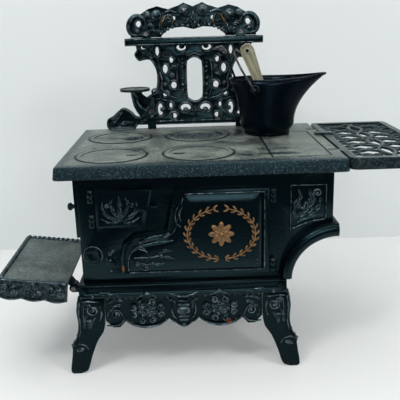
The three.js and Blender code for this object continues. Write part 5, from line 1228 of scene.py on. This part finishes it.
def slanted(points):
    """Turns points about the shelf's hinge line: x and z turn by the slant, y stays."""
    x, z = points[:, 0] - HINGE_X, points[:, 2] - HINGE_Z
    turned = np.stack([x * np.cos(SLANT) + z * np.sin(SLANT), points[:, 1],
                       z * np.cos(SLANT) - x * np.sin(SLANT)], -1)
    return turned + (HINGE_X, 0, HINGE_Z)


def rope(path, radius, pitch, around=12):
    """Two strands: radius · (1 + 0.24·cos(2(angle − 2 pi distance / pitch))) round a path in space."""
    path = np.asarray(path, float)
    length = np.r_[0, np.cumsum(np.linalg.norm(np.diff(path, axis=0), axis=1))]
    count = int(length[-1] / pitch * RINGS_A_PITCH)
    s = np.linspace(0, length[-1], count)
    line = np.stack([np.interp(s, length, path[:, i]) for i in range(3)], -1)
    along = np.gradient(line, axis=0)
    along /= np.linalg.norm(along, axis=1)[:, None]
    side = np.cross(along, (0, 0, 1.0))
    side /= np.linalg.norm(side, axis=1)[:, None]
    up = np.cross(side, along)
    angle = np.arange(around) / around * 2 * np.pi
    wave = radius * (1 + 0.24 * np.cos(2 * (angle[None] - 2 * np.pi * s[:, None] / pitch)))
    rings = line[:, None] + wave[..., None] * (np.cos(angle)[None, :, None] * side[:, None]
                                               + np.sin(angle)[None, :, None] * up[:, None])
    return skin(rings)


rim = rope([(-165.9, -1.4, 86.2), (-165.9, 94.8, 86.2), (-112.6, 94.8, 86.2)], ROPE_RADIUS, ROPE_PITCH)
make_piece("hearth_rope", [rim], slanted, body="hearth_shelf")
hearth_shapes = [bar((-167.4, 85), (-112.6, 85), 0.8, 0.7, 20),
                 leaf([(-121, 84), (-116.4, 77.6), (-113.8, 69.6)], 2.6, 1.1, 5)]
for x in (-158.7, -140.0, -121.4):
    hearth_shapes += [
        *scroll((x - 3.2, 77.6), 3.4, 0.2, 1.3, [(x + 4, 83), (x - 2, 82.6)], 1.2, 1.05),
        *scroll((x + 4.4, 74.4), 2.6, 0.7, -1.2, [(x + 7.6, 81), (x + 7.8, 77)], 1.0, 1.05),
        leaf([(x - 8.2, 83.4), (x - 7.4, 77), (x - 4.2, 71.6)], 2.4, 1.05, 4),
        leaf([(x + 0.4, 80.4), (x + 1.4, 75.4), (x - 0.4, 70.4)], 2.2, 1.05, 3),
        leaf([(x - 4.6, 84), (x + 1, 83), (x + 6, 79.6)], 1.6, 1.05, 3), boss((x - 6.6, 74), 1.1, 1.0),
        boss((x + 3.4, 79.6), 1.3, 1.1), boss((x - 3.2, 77.6), 1.2, 1.1),
        vine([(x - 8.8, 70.4), (x - 5, 68.8), (x, 68.2), (x + 5, 68.8), (x + 8.8, 70.4)], (0.5, 0.9, 0.5),
             0.8, 20),
    ]
make_piece("hearth_skirt", hearth_shapes, lambda p: slanted(on_front(SKIRT_BACK)(p)), body="hearth_shelf")
side_leaves = []
for y in np.linspace(6, 90, 9):
    side_leaves += [leaf([(-y - 4, 84.6), (-y, 83.2), (-y + 4, 82)], 1.2, 1.0, 2),
                    boss((-y - 5.2, 82.6), 0.7, 0.9)]
make_piece("hearth_side_leaves", side_leaves, lambda p: slanted(on_left(HEARTH_END)(p)),
           body="hearth_shelf")

# %% [markdown]
# ## End shelf
# The end shelf is a frame filled with open ironwork. The measured web is a plain one, so it
# is taken out of the softened copy. A boolean cut could do that, but the web's faces are
# easy to find by place. Taking them out leaves the frame's inner wall open along two
# loops, and bridging them closes the wall again.

# %% Taking the plain web out of the frame
SHELF = {"left": 116.6, "right": 192.6, "front": 1.0, "rear": 167.0, "border": 6.0, "low": 178.8,
         "high": 181.8}


def take_out_web(mesh):
    """Deletes the faces between the frame's inner walls and bridges the two open loops left there."""
    inset = SHELF["border"] + 0.05
    low = placed((SHELF["left"] + inset, SHELF["front"] + inset, SHELF["low"]))
    high = placed((SHELF["right"] - inset, SHELF["rear"] - inset, SHELF["high"]))
    shell = bmesh.new()
    shell.from_mesh(mesh)
    middles = np.array([face.calc_center_median() for face in shell.faces])
    inside = np.all((middles > low) & (middles < high), axis=1)
    web = [face for face, chosen in zip(list(shell.faces), inside) if chosen]
    bmesh.ops.delete(shell, geom=web, context="FACES")
    open_edges = [edge for edge in shell.edges if edge.is_boundary]
    bmesh.ops.bridge_loops(shell, edges=open_edges)
    bmesh.ops.recalc_face_normals(shell, faces=shell.faces)
    print("web faces out", len(web), "open edges bridged", len(open_edges),
          "left open", sum(edge.is_boundary for edge in shell.edges))
    shell.to_mesh(mesh)
    shell.free()


take_out_web(bpy.data.objects["end_shelf_cast"].data)

# %% [markdown]
# ## Openwork of the end shelf
# Two long stems weave down the middle, leaf blades cross in pairs out to the frame, and a
# ring goes round an eye where the stems meet. One half is drawn and mirrored. The same
# vines and leaves serve as on the doors, only here they span a gap and end in the frame.

# %% Stems, blades and eye of the end shelf
middle = ((SHELF["left"] + SHELF["right"]) / 2, (SHELF["front"] + SHELF["rear"]) / 2, 0)
stem = [(-5, -79), (4.5, -58), (5, -44), (-4.5, -24), (-5, -10), (5, 10), (4.5, 24), (-5, 44), (-4.5, 58),
        (5, 79)]
one_side = [vine(stem, (1.5, 2.0, 1.6, 2.2, 1.6, 2.2, 1.6, 2.0, 1.5), 1.5, 90)]
for place in np.arange(-3, 4) * 22.0:
    rising = [(-33.4, place - 9), (-22, place - 4.6), (-12, place + 2), (-3.5, place + 9)]
    falling = [(-33.4, place + 8), (-23, place + 4.6), (-13, place - 1.4), (-3.5, place - 8)]
    one_side += [leaf(rising, 2.6, 1.55, 4), leaf(falling, 2.1, 1.4, 3),
                 vine(rising, (1.1, 0.7, 1.1), 1.2, 20), vine(falling, (1.0, 0.7, 1.0), 1.1, 20)]
for place in np.arange(-2.5, 3) * 22.0:
    one_side += [vine([(-33.4, place + 0.6), (-28, place + 2.4), (-24.4, place), (-26, place - 2.6)],
                      (1.2, 1.5, 1.0, 0.6), 1.4, 20)]
shelf_shapes = [*one_side, *mirrored(one_side, 0.0), collar(0, 0, 5.4, 5.4, 1.5, 1.5),
                boss((0, 0), 3.0, 1.6)]
shelf_shapes = [(points + middle, quads, triangles) for points, quads, triangles in shelf_shapes]
make_piece("end_shelf_lattice", shelf_shapes, on_top(SHELF["low"] + 0.4), HEARTH, "end_shelf")

# %% [markdown]
# ## The scuttle
# A sheet-iron coal scuttle: round at its foot, drawn out to a spout at the mouth, with a
# wired rim. Each level is a ring whose reach grows with the square of its height, and it
# narrows and rises towards the spout. Inner rings give the sheet its thickness, which a
# Solidify modifier could do too, but rings keep the foot flat and the shell closed.

# %% Scuttle shell and rim
SCUTTLE_PLACE, SCUTTLE_TURN = (66.0, 120.5, 182.3), np.radians(-14)
FOOT_RADIUS, BACK_GROWTH, SPOUT_GROWTH, SHELL_FOOT, SHELL_TALL, SPOUT_LIP = 25.5, 10.5, 28.5, 10, 41, 4.5


def in_scuttle(points):
    """Scuttle's own millimetres to the stove's: a turn about z, then its place on the cover."""
    x, y = points[:, 0], points[:, 1]
    turned = np.stack([x * np.cos(SCUTTLE_TURN) - y * np.sin(SCUTTLE_TURN),
                       x * np.sin(SCUTTLE_TURN) + y * np.cos(SCUTTLE_TURN), points[:, 2]], -1)
    return turned + SCUTTLE_PLACE


def scuttle_ring(share, inset, around=96):
    """Reach = foot + growth·share²; ahead of the middle it narrows by 0.45·share·cos² and rises by a lip."""
    angle = np.arange(around) / around * 2 * np.pi
    ahead = np.maximum(np.cos(angle), 0) ** 2
    back, spout = (FOOT_RADIUS + growth * share**2 - inset for growth in (BACK_GROWTH, SPOUT_GROWTH))
    side, level = FOOT_RADIUS - share - inset, SHELL_FOOT + SHELL_TALL * share
    reach = np.where(np.cos(angle) > 0, spout, back)
    return np.stack([reach * np.cos(angle), side * np.sin(angle) * (1 - 0.45 * share * ahead),
                     level + SPOUT_LIP * share * ahead], -1)


def level_ring(radius, z, around=96):
    """A round ring at height z."""
    angle = np.arange(around) / around * 2 * np.pi
    return np.stack([radius * np.cos(angle), radius * np.sin(angle), np.full(around, float(z))], -1)


shares = np.linspace(0, 1, 12)
FOOT_RINGS = ((20.9, 0), (21.5, 0.5), (21.7, 2.2), (21.3, 3.6), (22.4, 4.6), (24.6, 7.4))
FLOOR_RINGS, SHEET = ((19.8, 7.2), (2, 7.0)), 1.5
shell = [*(level_ring(*ring) for ring in FOOT_RINGS), *(scuttle_ring(s, 0) for s in shares),
         *(scuttle_ring(s, SHEET) for s in shares[::-1]), *(level_ring(*ring) for ring in FLOOR_RINGS)]
rim_ring = scuttle_ring(1.0, 0.6)
wall_out = scuttle_ring(1.0, 0) - scuttle_ring(1.0, 1.0)
wall_out /= np.linalg.norm(wall_out, axis=1)[:, None]
turns = np.arange(8) / 8 * 2 * np.pi
RIM_WIRE = 1.15
rolled = rim_ring[:, None] + RIM_WIRE * (np.cos(turns)[None, :, None] * wall_out[:, None]
                                         + np.sin(turns)[None, :, None] * np.array([0, 0, 1.0]))
EAR_X, EAR_Z, STRAP_Z = -7.5, 43.5, 43.5 - 3.6
EAR_PROFILE = ((1.6, 26.2), (1.6, 28.2), (3.4, 28.5), (4.4, 28.1), (4.7, 27.2), (4.4, 26.3), (3.4, 26.0))
STRAP_CORNERS, STRAP_FACES = ((-2, -3), (2, -3), (2, 1), (-2, 1)), (23.4, 26.4)
ears = []
for way in (-1, 1):
    angle = np.arange(20) / 20 * 2 * np.pi
    hub = [np.stack([EAR_X + r * np.cos(angle), np.full(20, way * y), EAR_Z + r * np.sin(angle)], -1)
           for r, y in EAR_PROFILE]
    ears.append(skin(np.stack(hub), closed=True))
    strap = [(EAR_X + dx, way * y, STRAP_Z + dz) for y in STRAP_FACES for dx, dz in STRAP_CORNERS]
    ears.append(skin(np.array(strap).reshape(2, 4, 3)))
bucket = make_piece("scuttle_shell", [skin(np.array(shell)), skin(rolled, closed=True), *ears], in_scuttle,
                    TIN, "scuttle")
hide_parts("scuttle_bucket")

# %% [markdown]
# ## Tools in the scuttle
# A pressed shovel and a lid lifter stand in the scuttle. The shovel's handle has raised
# edges and an eyelet to hang it by, and the lifter ends in a cast leaf. The edges could be
# an inset of the blade's own mesh, but vines laid on both faces are round, as pressed
# sheet is. They are drawn upright and then lean with the shovel.

# %% Shovel edges and lifter leaf
SHOVEL_FOOT, SHOVEL_LEAN = np.array((9.0, -7.0, 8.0)), np.radians(-21)


def in_shovel(points):
    """Shovel's own place: a lean about y from its foot, then the scuttle's place."""
    x, y, z = points.T
    leaned = np.stack([x * np.cos(SHOVEL_LEAN) + z * np.sin(SHOVEL_LEAN), y,
                       z * np.cos(SHOVEL_LEAN) - x * np.sin(SHOVEL_LEAN)], -1)
    return in_scuttle(leaned + SHOVEL_FOOT)


handle_edge = [(-2.4, 23), (-3.6, 42), (-5.6, 70), (-5.7, 74), (-4.2, 78.4), (0, 79.6), (4.2, 78.4),
               (5.7, 74), (5.6, 70), (3.6, 42), (2.4, 23)]
edge_shapes = [vine(handle_edge, (0.55, 0.6, 0.55), 0.7, 60), collar(0, 73.75, 1.8, 1.8, 0.5, 0.6)]
make_piece("shovel_edges_front", edge_shapes, lambda p: in_shovel(on_front(0.1)(p)), BRASS, "shovel")
make_piece("shovel_edges_rear", handed(edge_shapes, True),
           lambda p: in_shovel(on_back(1.1)(p * (-1, 1, 1))), BRASS, "shovel")
LIFTER_FACE = 121.6
lifter_leaf = [leaf([(28.4, 256.8), (23.6, 262), (16.4, 261.8)], 3.0, 1.3, 3, 24, 11)]
make_piece("lifter_leaf", lifter_leaf, on_front(LIFTER_FACE), LIFTER, "lid_lifter")

# %% [markdown]
# ## The bench
# The stove stands on a white sheet before a pale wall. The sheet ends a little in front of
# it, because upright black iron mirrors what lies there and would turn pale. The wall is
# clear from behind, so that the stove's back can be looked at. Both glow a little, but
# only for camera, mirror and glass rays, so they look bright without lighting the iron.

# %% Floor and wall
def flat_sheet(name, corners, colour, seen, one_sided=False):
    """A flat sheet of uneven tone; seen is a glow that only camera, mirror and glass rays meet."""
    mesh = bpy.data.meshes.new(name)
    mesh.from_pydata(placed(corners).tolist(), [], [(0, 1, 2, 3)])
    material = bpy.data.materials.new(name)
    material.use_nodes = True
    tree = material.node_tree
    shader = tree.nodes["Principled BSDF"]
    tone = ramp(tree, noise(tree, 3.0, 3.0, 0.5), 0.3, 0.7)
    link(tree, mix_colour(tree, tone, colour, tuple(0.97 * c for c in colour)), shader.inputs["Base Color"])
    shader.inputs["Roughness"].default_value = 0.7
    shader.inputs["Specular IOR Level"].default_value = 0.2
    path = tree.nodes.new("ShaderNodeLightPath")
    looked = math_node(tree, "MAXIMUM", path.outputs["Is Camera Ray"], path.outputs["Is Glossy Ray"])
    looked = math_node(tree, "MAXIMUM", looked, path.outputs["Is Transmission Ray"])
    link(tree, math_node(tree, "MULTIPLY", looked, seen), shader.inputs["Emission Strength"])
    shader.inputs["Emission Color"].default_value = (*colour, 1)
    if one_sided:
        behind = tree.nodes.new("ShaderNodeNewGeometry").outputs["Backfacing"]
        either = tree.nodes.new("ShaderNodeMixShader")
        link(tree, behind, either.inputs["Fac"])
        link(tree, shader.outputs[0], either.inputs[1])
        link(tree, tree.nodes.new("ShaderNodeBsdfTransparent").outputs[0], either.inputs[2])
        link(tree, either.outputs[0], tree.nodes["Material Output"].inputs["Surface"])
    mesh.materials.append(material)
    sheet = bpy.data.objects.new(name, mesh)
    bpy.context.scene.collection.objects.link(sheet)
    return sheet


REACH, BENCH_FRONT, BENCH_BACK, WALL_PLACE, WALL_HEIGHT = 2500, -255, 1400, 312, 1600
BENCH_WHITE, BENCH_GLOW, WALL_WHITE, WALL_GLOW = (0.74, 0.755, 0.745), 0.24, (0.80, 0.835, 0.83), 0.15
flat_sheet("bench_sheet", [(-REACH, BENCH_FRONT, 0), (REACH, BENCH_FRONT, 0), (REACH, BENCH_BACK, 0),
                           (-REACH, BENCH_BACK, 0)], BENCH_WHITE, BENCH_GLOW)
flat_sheet("pale_wall", [(-REACH, WALL_PLACE, 0), (REACH, WALL_PLACE, 0),
                         (REACH, WALL_PLACE, WALL_HEIGHT), (-REACH, WALL_PLACE, WALL_HEIGHT)],
           WALL_WHITE, WALL_GLOW, one_sided=True)

# %% [markdown]
# ## The light
# The stove stands in soft daylight. A window lamp high on the left shapes the iron, a
# weaker one fills from the right, a low one in front lights the swell of the oven door,
# and a broad one above lights the cooktop. One sun would give hard shadows, and broad
# lamps give the soft ones of a room.

# %% Four lamps and a dim room
def soft_lamp(name, place, aim, size, power):
    """A square area lamp at place, facing aim, both in stove millimetres."""
    data = bpy.data.lights.new(name, "AREA")
    data.shape = "SQUARE"
    data.size = size * MM
    data.energy = power
    lamp = bpy.data.objects.new(name, data)
    lamp.location = placed(place)
    facing = Vector(placed(aim)) - Vector(placed(place))
    lamp.rotation_euler = facing.to_track_quat("-Z", "Y").to_euler()
    bpy.context.scene.collection.objects.link(lamp)
    return lamp


soft_lamp("window_light", (-420, -520, 950), (0, 60, 100), 220, 3.2)
soft_lamp("room_light", (620, -560, 760), (0, 60, 120), 200, 2.0)
soft_lamp("front_light", (40, -900, 420), (0, 60, 100), 400, 1.9)
soft_lamp("ceiling_light", (20, -120, 1150), (0, 40, 0), 900, 6.8)

SKY_BLUE, SKY_STRENGTH = (0.8, 0.9, 1.0), 0.12
world = bpy.data.worlds.new("dim_room")
bpy.context.scene.world = world
world.use_nodes = True
backdrop = world.node_tree.nodes["Background"]
backdrop.inputs["Color"].default_value = (*SKY_BLUE, 1)
backdrop.inputs["Strength"].default_value = SKY_STRENGTH
bpy.context.scene.view_settings.view_transform = "Standard"

# %% [markdown]
# ## The last cell
# It imports json once more.

# %% Import json
import json
